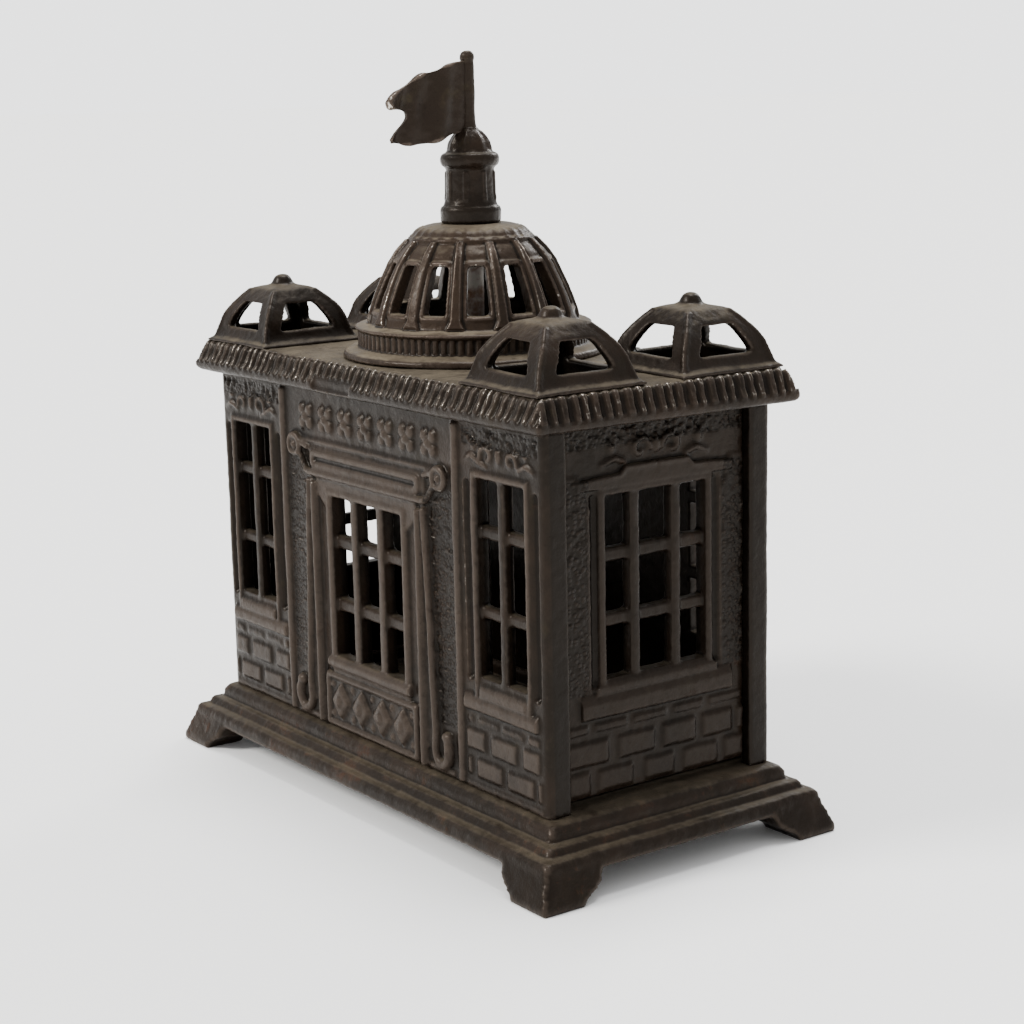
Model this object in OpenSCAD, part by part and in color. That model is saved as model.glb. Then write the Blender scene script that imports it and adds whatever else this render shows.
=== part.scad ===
// Cast iron still bank in the form of a domed building.
// Millimetres, +Z up, origin on the floor under the middle of the bank.
// The long front faces -Y and the two short end walls face +X and -X.

/* [Body] */
// Width of the walls, from end wall to end wall
body_w = 103; // [96:1:110]
// Depth of the walls, front to back
body_d = 47; // [44:1:50]
// Height of the floor plate's top, where the walls stand
floor_top = 11.8; // [11:0.1:13]
// Height of the walls' top edge, where the cornice sits
wall_top = 74.2; // [72:0.1:76]
// Thickness of the cast walls
wall_t = 2.4; // [2:0.1:3]

/* [Base] */
// Width across the feet at the floor
foot_w = 120; // [114:1:124]
// Depth across the feet at the floor
foot_d = 62.4; // [58:0.2:66]
// Length of a foot along the front
foot_len_x = 11; // [8:0.5:13]
// Length of a foot along the end
foot_len_y = 10; // [8:0.5:11]
// Height of the arch between the feet
arch_h = 5; // [4:0.1:5.5]

/* [Roof] */
// Height of the roof plate's top surface
roof_top = 79.8; // [79:0.1:81]
// Distance of a cupola's centre from the middle, along the front
cupola_x = 42; // [40:0.5:42.5]
// Distance of a cupola's centre from the middle, front to back
cupola_y = 14.5; // [13:0.5:15]
// Width of a square cupola at its foot
cupola_w = 19.8; // [18:0.2:20.4]
// Height of a cupola's flat top above the roof
cupola_h = 10.4; // [9:0.2:12]

/* [Dome] */
// Radius of the round plinth under the drum
plinth_r = 23.2; // [22:0.2:24]
// Radius of the fluted drum
drum_r = 20.4; // [19:0.2:21]
// Number of windows round the dome
dome_windows = 14; // [8:2:16]
// Height of the dome's flat top
dome_top = 102.4; // [101:0.2:104]

/* [Finial and screw] */
// Radius of the long tie screw's shank
screw_r = 2; // [1.8:0.1:2.2]
// Height where the lantern starts, just above the dome
lantern_z = 102.65; // [102.6:0.05:104.2]
// Height of the flagstaff's tip
staff_top = 132.2; // [130:0.2:134]
// Radius of the flagstaff
staff_r = 1.1; // [1:0.1:1.3]
// Length of the flag from the staff to its tails
flag_len = 17.2; // [15:0.2:19]

/* [Coin slot] */
// Length of the slot in the back wall
slot_w = 41; // [39:0.5:44]
// Height of the slot
slot_h = 4.6; // [4.4:0.1:5]

/* [Hidden] */
$fn = 48;

iron = [0.24, 0.2, 0.17];
iron_light = [0.42, 0.38, 0.34];
iron_rusty = [0.33, 0.22, 0.17];
steel = [0.5, 0.5, 0.5];

skin = wall_t;                       // thickness of the base, roof and dome castings
half_w = body_w / 2;
half_d = body_d / 2;
relief = 0.8;                        // how far frames and bricks stand proud
eps = 0.01;
seat = 0.08;                         // clearance between loose castings
bore_slack = 0.4;                    // radial room round the screw in the castings
thread_slack = 0.05;                 // radial room of the screw in the lantern
far = 200;                           // longer than any part
return_d = 4.6;                      // depth of the front and back castings' corners
end_inset = 1.7;                     // how far an end wall sits back from the corners
slot_z = 68.4;                       // height of the coin slot's middle
roof_hole_r = 14;                    // hole in the roof under the dome
plinth_h = 1.2;
drum_top = 84.6;
window_z0 = 87.9;                    // foot of the dome's windows
window_z1 = 96.1;                    // head of the dome's windows
window_turn = -31.7;                 // where the first window stands
lantern_r = 4.4;
lantern_top = 119;
flag_top = 130.4;
flag_bottom = 116.6;
cloth_t = 1;

// A moulding's outline: half widths and heights, mirrored to both sides.
function both_sides(pts) = concat(
    [for (p = pts) p],
    [for (i = [len(pts) - 1:-1:0]) [-pts[i][0], pts[i][1]]]
);

// The same outline with its half widths made smaller.
function inset(pts, by) = [for (p = pts) [p[0] - by, p[1]]];

// A moulding round a rectangle, mitred at the corners.
module mitred(profile_x, profile_y) {
    intersection() {
        rotate([90, 0, 0])
            linear_extrude(height = far, center = true) polygon(both_sides(profile_x));
        rotate([90, 0, 90])
            linear_extrude(height = far, center = true) polygon(both_sides(profile_y));
    }
}

module box(low, high) {
    translate(low) cube(high - low);
}

// ---- Base -------------------------------------------------------------

foot_flare = foot_w / 2;
base_profile = [
    [foot_flare, 0], [foot_flare, 1], [foot_flare - 1.4, 4.3], [foot_flare - 2.2, 7],
    [foot_flare - 2.8, 7.6], [foot_flare - 4.1, 8.3], [foot_flare - 4.6, 8.9],
    [foot_flare - 6.1, 9.8], [foot_flare - 6.5, 10.8], [foot_flare - 7, 11.4],
    [foot_flare - 7.8, floor_top]
];
base_profile_y = inset(base_profile, foot_w / 2 - foot_d / 2);

module base_plinth() {
    color(iron_rusty) difference() {
        union() {
            difference() {
                mitred(base_profile, base_profile_y);
                // hollow under the floor plate
                box([-half_w + 1, -half_d + 1, -1], [half_w - 1, half_d - 1, floor_top - skin]);
                // arches between the feet
                box([-foot_flare + foot_len_x, -far / 2, -1], [foot_flare - foot_len_x, far / 2, arch_h]);
                box([-far / 2, -foot_d / 2 + foot_len_y, -1], [far / 2, foot_d / 2 - foot_len_y, arch_h]);
            }
            // rib that locates the walls
            rib_x = half_w - end_inset - wall_t - 0.6;
            rib_y = half_d - wall_t - 0.2;
            difference() {
                box([-rib_x, -rib_y, floor_top - 0.5], [rib_x, rib_y, floor_top + 2.4]);
                box([-rib_x + 1.6, -rib_y + 1.6, floor_top - 1], [rib_x - 1.6, rib_y - 1.6, floor_top + 3]);
            }
            // boss round the screw
            translate([0, 0, 6]) cylinder(h = floor_top - 6 - 0.2, r = 6.5);
        }
        translate([0, 0, -1]) cylinder(h = floor_top + 4, r = screw_r + bore_slack);
    }
}

// ---- Walls ------------------------------------------------------------

// A window opening with its bars left standing.
module lattice_cut(x0, x1, z0, z1, columns, rows, bar) {
    pane_w = (x1 - x0 - (columns - 1) * bar) / columns;
    pane_h = (z1 - z0 - (rows - 1) * bar) / rows;
    for (i = [0:columns - 1])
        for (j = [0:rows - 1])
            translate([x0 + i * (pane_w + bar), -far / 2, z0 + j * (pane_h + bar)])
                cube([pane_w, far, pane_h]);
}

// A rectangular frame that stands proud of a wall whose face is at y = 0 and looks to -Y.
module raised_frame(x0, x1, z0, z1, width, proud) {
    difference() {
        box([x0 - width, -proud, z0 - width], [x1 + width, 0.6, z1 + width]);
        box([x0 - eps, -far / 2, z0 - eps], [x1 + eps, far / 2, z1 + eps]);
    }
}

// Staggered courses of raised bricks between x0 and x1.
module bricks(x0, x1, z0, brick_w, brick_h, joint) {
    for (row = [0:1])
        for (x = [x0 - row * brick_w / 2:brick_w + joint:x1]) {
            left = max(x, x0);
            right = min(x + brick_w, x1);
            if (right - left > 1)
                box([left, -0.5, z0 + row * (brick_h + joint)],
                    [right, 0.6, z0 + row * (brick_h + joint) + brick_h]);
        }
}

side_win_x0 = 33.1;
side_win_x1 = 46.5;
side_win_z0 = 31.6;
side_win_z1 = 64.6;
bar_w = 1.8;

// One side bay, to the right of the middle; the wall's face is at y = 0.
module side_bay_relief() {
    raised_frame(side_win_x0, side_win_x1, side_win_z0, side_win_z1, 1, relief);
    box([29.4, -1.6, 26.2], [49.4, 0.6, 28.2]);
    box([31, -1.2, 28.8], [48.6, 0.6, 30]);
    box([29.2, -0.5, 23.2], [50, 0.6, 25]);
    box([29.2, -0.9, 66], [50.2, 0.6, 67]);
    box([26.9, -0.9, floor_top + 1.4], [28.3, 0.6, 72]);
    bricks(29.4, 50, 14.4, 6, 3.4, 1.3);
}

module side_bay_cut() {
    lattice_cut(side_win_x0, side_win_x1, side_win_z0, side_win_z1, 2, 3, bar_w);
    for (x = [30, 48.7])
        box([x, -1, 31], [x + 1.5, 0.8, 64]);
}

// Plan of a front or back casting: a long panel with its corners turned back.
module corner_plan() {
    round_r = 1.2;
    translate([-half_w + round_r, 0]) square([body_w - 2 * round_r, wall_t]);
    for (s = [-1, 1]) {
        translate([s * (half_w - round_r), round_r]) circle(r = round_r);
        translate([s > 0 ? half_w - wall_t : -half_w, round_r]) square([wall_t, return_d - round_r]);
    }
}

// A long wall with its face at y = 0, looking to -Y.
module long_wall_blank() {
    translate([0, 0, floor_top]) linear_extrude(height = wall_top - floor_top - seat) corner_plan();
    for (s = [-1, 1])
        scale([s, 1, 1]) side_bay_relief();
}

door_half = 11.3;
door_z0 = 25.8;
door_z1 = 55.2;

module door_relief() {
    raised_frame(-door_half, door_half, door_z0, door_z1, 1.4, 1.5);
    for (s = [-1, 1]) {
        box([s * 16.8 - 0.8, -1.6, 13.2], [s * 16.8 + 0.8, 0.6, 57]);
        box([s * 19.6 - 0.6, -1.4, 15], [s * 19.6 + 0.6, 0.6, 56.4]);
        translate([s * 23.4, -1.6, 63]) rotate([-90, 0, 0]) cylinder(h = 2.2, r = 2.1);
    }
    // lintel, door head, sill and plaque
    box([-17.4, -1.8, 60], [17.4, 0.6, 62.4]);
    box([-18.2, -1.6, 57.6], [18.2, 0.6, 59]);
    box([-13.6, -1.6, 23.4], [13.6, 0.6, 24.8]);
    box([-14.4, -1.4, 13.2], [14.4, 0.6, 22.2]);
    box([-24, -0.8, 64.8], [24, 0.6, 72]);
}

module front_wall() {
    color(iron_light) translate([0, -half_d, 0]) difference() {
        union() {
            long_wall_blank();
            door_relief();
        }
        for (s = [-1, 1])
            scale([s, 1, 1]) side_bay_cut();
        lattice_cut(-door_half, door_half, door_z0, door_z1, 3, 3, bar_w);
    }
}

// The back casting repeats the side bays, with a plain middle and the coin slot.
module back_wall() {
    color(iron_light) rotate([0, 0, 180]) translate([0, -half_d, 0]) difference() {
        union() {
            long_wall_blank();
            raised_frame(-slot_w / 2, slot_w / 2, slot_z - slot_h / 2, slot_z + slot_h / 2, 1.2, relief);
            raised_frame(-22, 22, 16, 61, 1.4, relief);
        }
        for (s = [-1, 1])
            scale([s, 1, 1]) side_bay_cut();
        box([-slot_w / 2, -far / 2, slot_z - slot_h / 2], [slot_w / 2, far / 2, slot_z + slot_h / 2]);
    }
}

end_win_half = 10.5;
end_win_z0 = 32.4;
end_win_z1 = 62.4;
end_bottom = 13.4;

// An end wall with its face at y = 0, looking to -Y; it laps behind the corner returns.
module end_wall_blank() {
    panel_half = half_d - return_d - seat;
    lap_half = half_d - wall_t - seat;
    lap_face = wall_t - end_inset + seat;
    difference() {
        union() {
            box([-panel_half, 0, end_bottom], [panel_half, wall_t, wall_top - seat]);
            box([-lap_half, lap_face, end_bottom], [lap_half, wall_t, wall_top - seat]);
            raised_frame(-end_win_half, end_win_half, end_win_z0, end_win_z1, 1.3, relief);
            raised_frame(-13.6, 13.6, 31, 64, 1.2, relief);
            box([-15.3, -1.4, 26.4], [15.3, 0.6, 29.8]);
            box([-15.3, -1.2, 64.2], [15.3, 0.6, 65.4]);
            box([-6.3, -1, 65], [6.3, 0.6, 66.8]);
            box([-17.6, -0.5, 24.1], [17.6, 0.6, 25.6]);
            bricks(-17.8, 17.8, 13.9, 7, 3.8, 1.2);
        }
        lattice_cut(-end_win_half, end_win_half, end_win_z0, end_win_z1, 3, 3, bar_w);
    }
}

module right_end_wall() {
    color(iron) translate([half_w - end_inset, 0, 0]) rotate([0, 0, 90]) end_wall_blank();
}

module left_end_wall() {
    color(iron) translate([-half_w + end_inset, 0, 0]) rotate([0, 0, -90]) end_wall_blank();
}

// ---- Roof -------------------------------------------------------------

cornice_profile = [
    [half_w + 2.9, wall_top], [half_w + 3.4, wall_top + 0.7], [half_w + 3.5, wall_top + 1.6],
    [half_w + 2.95, wall_top + 2.8], [half_w + 2.35, wall_top + 4.2],
    [half_w + 1.8, roof_top - 0.5], [half_w + 0.9, roof_top]
];
cornice_profile_y = inset(cornice_profile, half_w - half_d);
flute_pitch = 2.2;

module roof() {
    lip_x = half_w - end_inset - wall_t - 0.25;
    lip_y = half_d - wall_t - 0.25;
    color(iron) difference() {
        union() {
            mitred(cornice_profile, cornice_profile_y);
            box([-lip_x, -lip_y, wall_top - 1.6], [lip_x, lip_y, wall_top + 1]);
        }
        box([-lip_x + 1.6, -lip_y + 1.6, wall_top - 2], [lip_x - 1.6, lip_y - 1.6, roof_top - skin]);
        cylinder(h = far, r = roof_hole_r);
        // reeding along the front, back and ends
        for (x = [-half_w + 3:flute_pitch:half_w - 3])
            for (s = [-1, 1])
                box([x - 0.45, s * (half_d + 3.4) - 1, wall_top + 1], [x + 0.45, s * (half_d + 3.4) + 1, roof_top - 0.8]);
        for (y = [-half_d + 3:flute_pitch:half_d - 3])
            for (s = [-1, 1])
                box([s * (half_w + 3.4) - 1, y - 0.45, wall_top + 1], [s * (half_w + 3.4) + 1, y + 0.45, roof_top - 0.8]);
    }
}

// ---- Corner cupolas ----------------------------------------------------

cupola_half = cupola_w / 2;
slab_h = 1.2;
skirt_h = 2.3;
cupola_rise = cupola_h - slab_h - skirt_h;

// Half width of a cupola's shell, from its skirt (t = 0) to its flat top (t = 1).
function vault_half(t) = cupola_half - 1.3 - (cupola_half - 4.8) * pow(t, 1.5);
vault_steps = 8;
cupola_profile = concat(
    [[cupola_half, 0], [cupola_half, slab_h - 0.3], [cupola_half - 0.5, slab_h]],
    [for (i = [0:vault_steps])
        [vault_half(i / vault_steps), slab_h + skirt_h + cupola_rise * i / vault_steps]]
);
cupola_inside = concat(
    [[cupola_half - 2.2, -1], [cupola_half - 2.4, slab_h]],
    [for (i = [0:vault_steps])
        [vault_half(i / vault_steps) - 1.6, slab_h + skirt_h + (cupola_rise - 1.8) * i / vault_steps]]
);

module cupola() {
    ball_z = cupola_h + 0.6;
    difference() {
        union() {
            mitred(cupola_profile, cupola_profile);
            translate([0, 0, cupola_h - 0.6]) cylinder(h = 1, r = 2.6);
            intersection() {
                translate([0, 0, ball_z - 0.4]) sphere(r = 2);
                translate([0, 0, cupola_h - 0.4]) cylinder(h = 6, r = 3);
            }
        }
        mitred(cupola_inside, cupola_inside);
        // one window in each face, wide at its foot
        for (a = [0, 90])
            rotate([0, 0, a]) rotate([90, 0, 0])
                linear_extrude(height = far, center = true)
                    polygon([[-4.3, slab_h + skirt_h - 0.4], [4.3, slab_h + skirt_h - 0.4],
                             [2.5, cupola_h - 3.2], [-2.5, cupola_h - 3.2]]);
    }
}

module place_cupola(sx, sy) {
    color(iron) translate([sx * cupola_x, sy * cupola_y, roof_top]) cupola();
}

module front_left_cupola() { place_cupola(-1, -1); }
module front_right_cupola() { place_cupola(1, -1); }
module back_left_cupola() { place_cupola(-1, 1); }
module back_right_cupola() { place_cupola(1, 1); }

// ---- Main dome ----------------------------------------------------------

dome_outline = [
    [18.8, 85.6], [17.3, 89.6], [16, 93], [14.3, 96.5], [12.6, 98.6], [11, 99.8],
    [10.6, 99.8], [10, 101], [8.8, 102], [7.4, dome_top]
];

module main_dome() {
    color(iron) difference() {
        rotate_extrude() polygon(concat(
            [[roof_hole_r + 1, roof_top], [plinth_r, roof_top], [plinth_r - 0.4, roof_top + plinth_h],
             [drum_r + 0.5, roof_top + plinth_h + 0.2], [drum_r, 81.6], [drum_r, 84],
             [drum_r + 0.9, drum_top - 0.3], [drum_r + 0.6, drum_top]],
            dome_outline,
            [[screw_r + bore_slack, dome_top], [screw_r + bore_slack, dome_top - 2.4], [7, 99.8],
             [10.2, 97.6], [12.4, 94.6], [14, 91.6], [15.4, 87.6], [16.2, 84.2], [16.2, 82]]
        ));
        // windows
        for (i = [0:dome_windows - 1])
            rotate([0, 0, window_turn + i * 360 / dome_windows])
                translate([11, 0, 0]) rotate([90, 0, 90])
                    linear_extrude(height = 12)
                        polygon([[-2.1, window_z0], [2.1, window_z0], [1.65, window_z1], [-1.65, window_z1]]);
    }
}

// ---- Lantern, flag and tie screw ------------------------------------------

module lantern() {
    color(iron) difference() {
        rotate_extrude() polygon([
            [0, lantern_z], [5.2, lantern_z], [5.4, 103.4], [5.4, 104.8], [5, 105.4],
            [lantern_r + 0.3, 105.7], [lantern_r, 107], [lantern_r - 0.1, 112.2],
            [4.8, 112.5], [5.2, 113.1], [5.2, 114], [4.8, 114.6], [4.1, 115],
            [3.6, 116.4], [2.7, 117.8], [1.7, 118.6], [1.4, lantern_top], [0, lantern_top]
        ]);
        translate([0, 0, lantern_z - 1]) cylinder(h = 10.4, r = screw_r + thread_slack);
        // panels sunk round the drum
        for (i = [0:7])
            rotate([0, 0, 22.5 + i * 45]) box([lantern_r - 0.35, -0.9, 106.6], [lantern_r + 1, 0.9, 111.6]);
        translate([0, 0, lantern_top - 2.6]) cylinder(h = 4, r = 0.9);
    }
}

function flag_wave(y) = 0.9 * sin(y / flag_len * 400);
flag_steps = 14;
// swallowtail outline: distance from the staff, and height
flag_outline = [
    [0, flag_top], [4.9, 129.2], [8.7, 128.3], [11.2, 127], [15.2, 125.2], [flag_len, 123.6],
    [16.6, 122.7], [13.1, 122], [12.2, 121.2], [13, 120.4], [15.4, 118.6], [16.2, 117.2],
    [15.6, flag_bottom - 0.1], [13.5, flag_bottom - 0.2], [9.6, flag_bottom - 0.2],
    [6.5, 117.2], [3.6, 117.9], [0, 119.4]
];

module flag() {
    color(iron) {
        // staff with a round tip, and a peg in the lantern's cap
        translate([0, 0, lantern_top]) cylinder(h = staff_top - lantern_top - staff_r, r = staff_r);
        translate([0, 0, staff_top - staff_r]) sphere(r = staff_r);
        translate([0, 0, lantern_top - 2.5]) cylinder(h = 3, r = 0.85);
        // waving cloth, from the staff forwards
        intersection() {
            translate([0, 0, flag_bottom - 1])
                linear_extrude(height = flag_top - flag_bottom + 2)
                    polygon(concat(
                        [for (i = [0:flag_steps])
                            [flag_wave(i * flag_len / flag_steps) - cloth_t / 2, -i * flag_len / flag_steps]],
                        [for (i = [flag_steps:-1:0])
                            [flag_wave(i * flag_len / flag_steps) + cloth_t / 2, -i * flag_len / flag_steps]]
                    ));
            rotate([90, 0, -90])
                linear_extrude(height = 20, center = true) polygon(flag_outline);
        }
    }
}

module tie_screw() {
    head_top = 5.9;
    color(steel) difference() {
        union() {
            translate([0, 0, head_top - 0.5]) cylinder(h = lantern_z + 8 - head_top, r = screw_r);
            translate([0, 0, 3.1]) cylinder(h = head_top - 3.1, r = 4.4);
        }
        box([-0.6, -6, 0], [0.6, 6, 4.4]);
    }
}

base_plinth();
front_wall();
back_wall();
right_end_wall();
left_end_wall();
roof();
main_dome();
front_left_cupola();
front_right_cupola();
back_left_cupola();
back_right_cupola();
lantern();
flag();
tie_screw();
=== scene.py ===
# %% [markdown]
# # A cast iron still bank
#
# The bank is a small domed building made of separate iron castings that one long screw holds
# together. Every casting starts as a *pattern*, the way a foundry does it: plain closed solids
# are added up, some are cut away, and then the whole is turned into one skin with soft edges
# and a sandy surface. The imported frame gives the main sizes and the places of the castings.

# %% Load the frame
import math

import bmesh
import bpy
import numpy as np
from mathutils import Matrix, Vector


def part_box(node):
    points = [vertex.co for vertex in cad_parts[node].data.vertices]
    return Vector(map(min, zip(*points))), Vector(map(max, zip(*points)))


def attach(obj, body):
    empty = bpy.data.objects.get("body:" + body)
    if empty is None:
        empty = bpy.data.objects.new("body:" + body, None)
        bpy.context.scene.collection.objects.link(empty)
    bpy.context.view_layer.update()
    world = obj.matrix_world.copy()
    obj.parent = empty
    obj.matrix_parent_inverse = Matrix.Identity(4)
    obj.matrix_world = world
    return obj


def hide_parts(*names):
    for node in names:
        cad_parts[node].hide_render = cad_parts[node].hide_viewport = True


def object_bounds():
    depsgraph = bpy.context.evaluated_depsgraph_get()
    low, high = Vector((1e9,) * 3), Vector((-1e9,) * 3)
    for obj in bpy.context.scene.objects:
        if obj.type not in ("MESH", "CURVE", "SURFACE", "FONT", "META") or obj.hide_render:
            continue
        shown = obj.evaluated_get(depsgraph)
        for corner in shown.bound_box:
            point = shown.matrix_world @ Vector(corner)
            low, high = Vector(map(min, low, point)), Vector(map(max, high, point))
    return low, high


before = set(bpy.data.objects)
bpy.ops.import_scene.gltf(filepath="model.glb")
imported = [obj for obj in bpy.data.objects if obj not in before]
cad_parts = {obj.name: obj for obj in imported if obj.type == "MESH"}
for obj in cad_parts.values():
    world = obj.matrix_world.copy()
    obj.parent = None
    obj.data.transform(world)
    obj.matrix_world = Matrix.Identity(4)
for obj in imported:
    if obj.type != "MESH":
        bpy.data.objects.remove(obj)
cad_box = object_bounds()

MM = 0.001
rng = np.random.default_rng(7)
print("nodes:", ", ".join(sorted(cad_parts)))

# %% Sizes read from the frame, in millimetres
def node_box(name):
    """Lowest and highest corner of a casting, in millimetres."""
    low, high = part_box(name)
    return np.array(low) / MM, np.array(high) / MM


base_high = node_box("base_plinth")[1]
roof_high = node_box("roof")[1]
back_low, back_high = node_box("back_wall")
end_low = node_box("right_end_wall")[0]
screw_low, screw_high = node_box("tie_screw")

HALF_W = back_high[0]
HALF_D = 23.5
FLOOR_TOP = back_low[2]
WALL_TOP = back_high[2]
ROOF_TOP = roof_high[2]
WALL_T = 2.4
print(f"walls {2 * HALF_W:.1f} x {2 * HALF_D:.1f} mm, from {FLOOR_TOP:.1f} to {WALL_TOP:.1f} mm high")

# %% [markdown]
# ## The camera
#
# A long lens from about 0.4 m away looks at the corner between the front and the right end,
# from a little above. The camera is placed by its two angles round the bank, so that the
# view can be set with a protractor and a rule.

# %% Camera
AZIMUTH, ELEVATION, ROLL = (math.radians(a) for a in (54.29, 11.54, -1.271))
AIM = Vector((0.01036, 0.0, 0.05234))
DISTANCE = 0.37039

back = Vector((math.sin(AZIMUTH) * math.cos(ELEVATION),
               -math.cos(AZIMUTH) * math.cos(ELEVATION),
               math.sin(ELEVATION)))
level_right = (-back).cross(Vector((0, 0, 1))).normalized()
level_up = level_right.cross(-back)
right = math.cos(ROLL) * level_right + math.sin(ROLL) * level_up
up = -math.sin(ROLL) * level_right + math.cos(ROLL) * level_up

camera_data = bpy.data.cameras.new("camera")
camera_data.lens = 73.82
camera_data.sensor_width = 36
camera_data.clip_start = 0.01
camera = bpy.data.objects.new("camera", camera_data)
camera.matrix_world = Matrix.Translation(AIM + back * DISTANCE) @ Matrix(
    (right, up, back)).transposed().to_4x4()
bpy.context.scene.collection.objects.link(camera)
bpy.context.scene.camera = camera
print("camera at", [round(v, 4) for v in camera.location])

# %% [markdown]
# ## Pattern making
#
# Almost every solid here is a *loft*: a row of rings with equally many points, joined by
# quads and closed at both ends. Boxes, prisms, turned shapes, mouldings and bent bars are all
# lofts, so one helper makes them all and each comes out closed, which the cutting and
# remeshing need.

# %% Lofted solids
def loft(bm, rings, caps=True, closed=False):
    """Joins rings of points into one closed solid."""
    rows = [[bm.verts.new(p) for p in ring] for ring in rings]
    faces = []
    count = len(rows[0])
    pairs = list(zip(rows, rows[1:]))
    if closed:
        pairs.append((rows[-1], rows[0]))
    for a, b in pairs:
        for i in range(count):
            j = (i + 1) % count
            faces.append(bm.faces.new((a[i], a[j], b[j], b[i])))
    if caps and not closed:
        faces.append(bm.faces.new(list(reversed(rows[0]))))
        faces.append(bm.faces.new(rows[-1]))
    bmesh.ops.recalc_face_normals(bm, faces=faces)
    return faces


def slab(bm, x, y, z):
    """A box from three pairs of limits."""
    (x0, x1), (y0, y1), (z0, z1) = sorted(x), sorted(y), sorted(z)
    loft(bm, [[(x0, y0, h), (x1, y0, h), (x1, y1, h), (x0, y1, h)] for h in (z0, z1)])


def pillow(bm, x, proud, z, edge=0.45, foot=0.8):
    """A raised block on a wall: its face stands proud by that much and its edges are bevelled."""
    (x0, x1), (z0, z1) = sorted(x), sorted(z)

    def ring(shrink, y):
        return [(x0 + shrink, y, z0 + shrink), (x1 - shrink, y, z0 + shrink),
                (x1 - shrink, y, z1 - shrink), (x0 + shrink, y, z1 - shrink)]

    loft(bm, [ring(0, foot), ring(0, -proud + edge), ring(edge, -proud)])


def prism(bm, outline, y):
    """A solid with an (x, z) outline, from one depth to another."""
    loft(bm, [[(px, depth, pz) for px, pz in outline] for depth in y])


def turned(bm, profile, steps=96, centre=(0, 0)):
    """A lathe-turned solid from a closed (radius, height) outline."""
    rings = []
    for i in range(steps):
        a = 2 * math.pi * i / steps
        rings.append([(centre[0] + max(r, 0.01) * math.cos(a),
                       centre[1] + max(r, 0.01) * math.sin(a), z) for r, z in profile])
    loft(bm, rings, closed=True)


def bent_bar(bm, path, radii, sides=10, flatten=1.0):
    """A round bar along a path of points, with a radius at each; flatten squeezes it in Y."""
    points = [Vector(p) for p in path]
    rings = []
    for i, p in enumerate(points):
        ahead = points[min(i + 1, len(points) - 1)] - points[max(i - 1, 0)]
        ahead.normalize()
        side = ahead.cross(Vector((0, 1, 0)))
        if side.length < 0.1:
            side = ahead.cross(Vector((1, 0, 0)))
        side.normalize()
        other = side.cross(ahead).normalized()
        rings.append([p + radii[i] * (math.cos(t) * side + flatten * math.sin(t) * other)
                      for t in (2 * math.pi * k / sides for k in range(sides))])
    loft(bm, rings)


def arc(cx, cz, radius, start, end, steps=8):
    """Points of a circular arc in degrees, as (x, z)."""
    return [(cx + radius * math.cos(math.radians(a)), cz + radius * math.sin(math.radians(a)))
            for a in np.linspace(start, end, steps + 1)]


def rounded(x, z, radius):
    """A rectangle's outline with round corners."""
    (x0, x1), (z0, z1) = sorted(x), sorted(z)
    return (arc(x1 - radius, z0 + radius, radius, -90, 0, 4) +
            arc(x1 - radius, z1 - radius, radius, 0, 90, 4) +
            arc(x0 + radius, z1 - radius, radius, 90, 180, 4) +
            arc(x0 + radius, z0 + radius, radius, 180, 270, 4))


def moulding(bm, profile, gap_y):
    """A solid moulding round a rectangle, from (half width, height) points, mitred at the corners.
    Its half depth is its half width less gap_y."""
    rings = []
    for half, z in profile:
        rings.append([(half, -(half - gap_y), z), (half, half - gap_y, z),
                      (-half, half - gap_y, z), (-half, -(half - gap_y), z)])
    loft(bm, rings)


def knob(bm, centre, radii, steps=14):
    """An ellipsoid, for bosses and beads."""
    rings = []
    for i in range(steps + 1):
        t = math.pi * (i / steps - 0.5)
        ring_r = max(math.cos(t), 0.02)
        rings.append([(centre[0] + radii[0] * ring_r * math.cos(a),
                       centre[1] + radii[1] * ring_r * math.sin(a),
                       centre[2] + radii[2] * math.sin(t)) for a in (2 * math.pi
                                                                     * k / steps for k in range(steps))])
    loft(bm, rings)


# %% [markdown]
# ## From pattern to casting
#
# A sand casting has no sharp edge and no perfectly flat face. A voxel Remesh fuses the
# pattern's overlapping solids into one even skin. What is cut away is fused in the same way
# first, because a Boolean works surely only on two clean closed skins. A Smooth modifier then
# draws the fillets that a moulder would rub on with wax. Next the skin is moved along its
# normals: broad lumps from the sand, small pits, and the relief or punching that the pattern
# asks for. Where that leaves more triangles than the piece's cap, Decimate thins them out.

# %% Noise for the skin
def lattice_noise(points, size, seed):
    """Smooth noise between -1 and 1 with features of that size, for many points at once."""
    q = points / size + seed * 17.31
    cell = np.floor(q).astype(np.int64)
    f = q - cell
    f = f * f * (3 - 2 * f)
    total = np.zeros(len(points))
    for corner in range(8):
        step = np.array([corner & 1, corner >> 1 & 1, corner >> 2 & 1])
        c = cell + step
        h = (c[:, 0] * 73856093) ^ (c[:, 1] * 19349663) ^ (c[:, 2] * 83492791) ^ (seed * 2654435761)
        h = (h ^ (h >> 13)) * 1274126177 & 0x7FFFFFFF
        weight = np.prod(np.where(step, f, 1 - f), axis=1)
        total += weight * ((h & 0xFFFF) / 32767.5 - 1)
    return total


def neighbour_mean(values, edges, count):
    """Each vertex's mean over its neighbours."""
    total = np.zeros((count,) + values.shape[1:])
    degree = np.bincount(edges.ravel(), minlength=count)[:, None].clip(1)
    for a, b in ((0, 1), (1, 0)):
        for k in range(values.shape[1]):
            total[:, k] += np.bincount(edges[:, a], weights=values[edges[:, b], k], minlength=count)
    return total / degree


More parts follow.
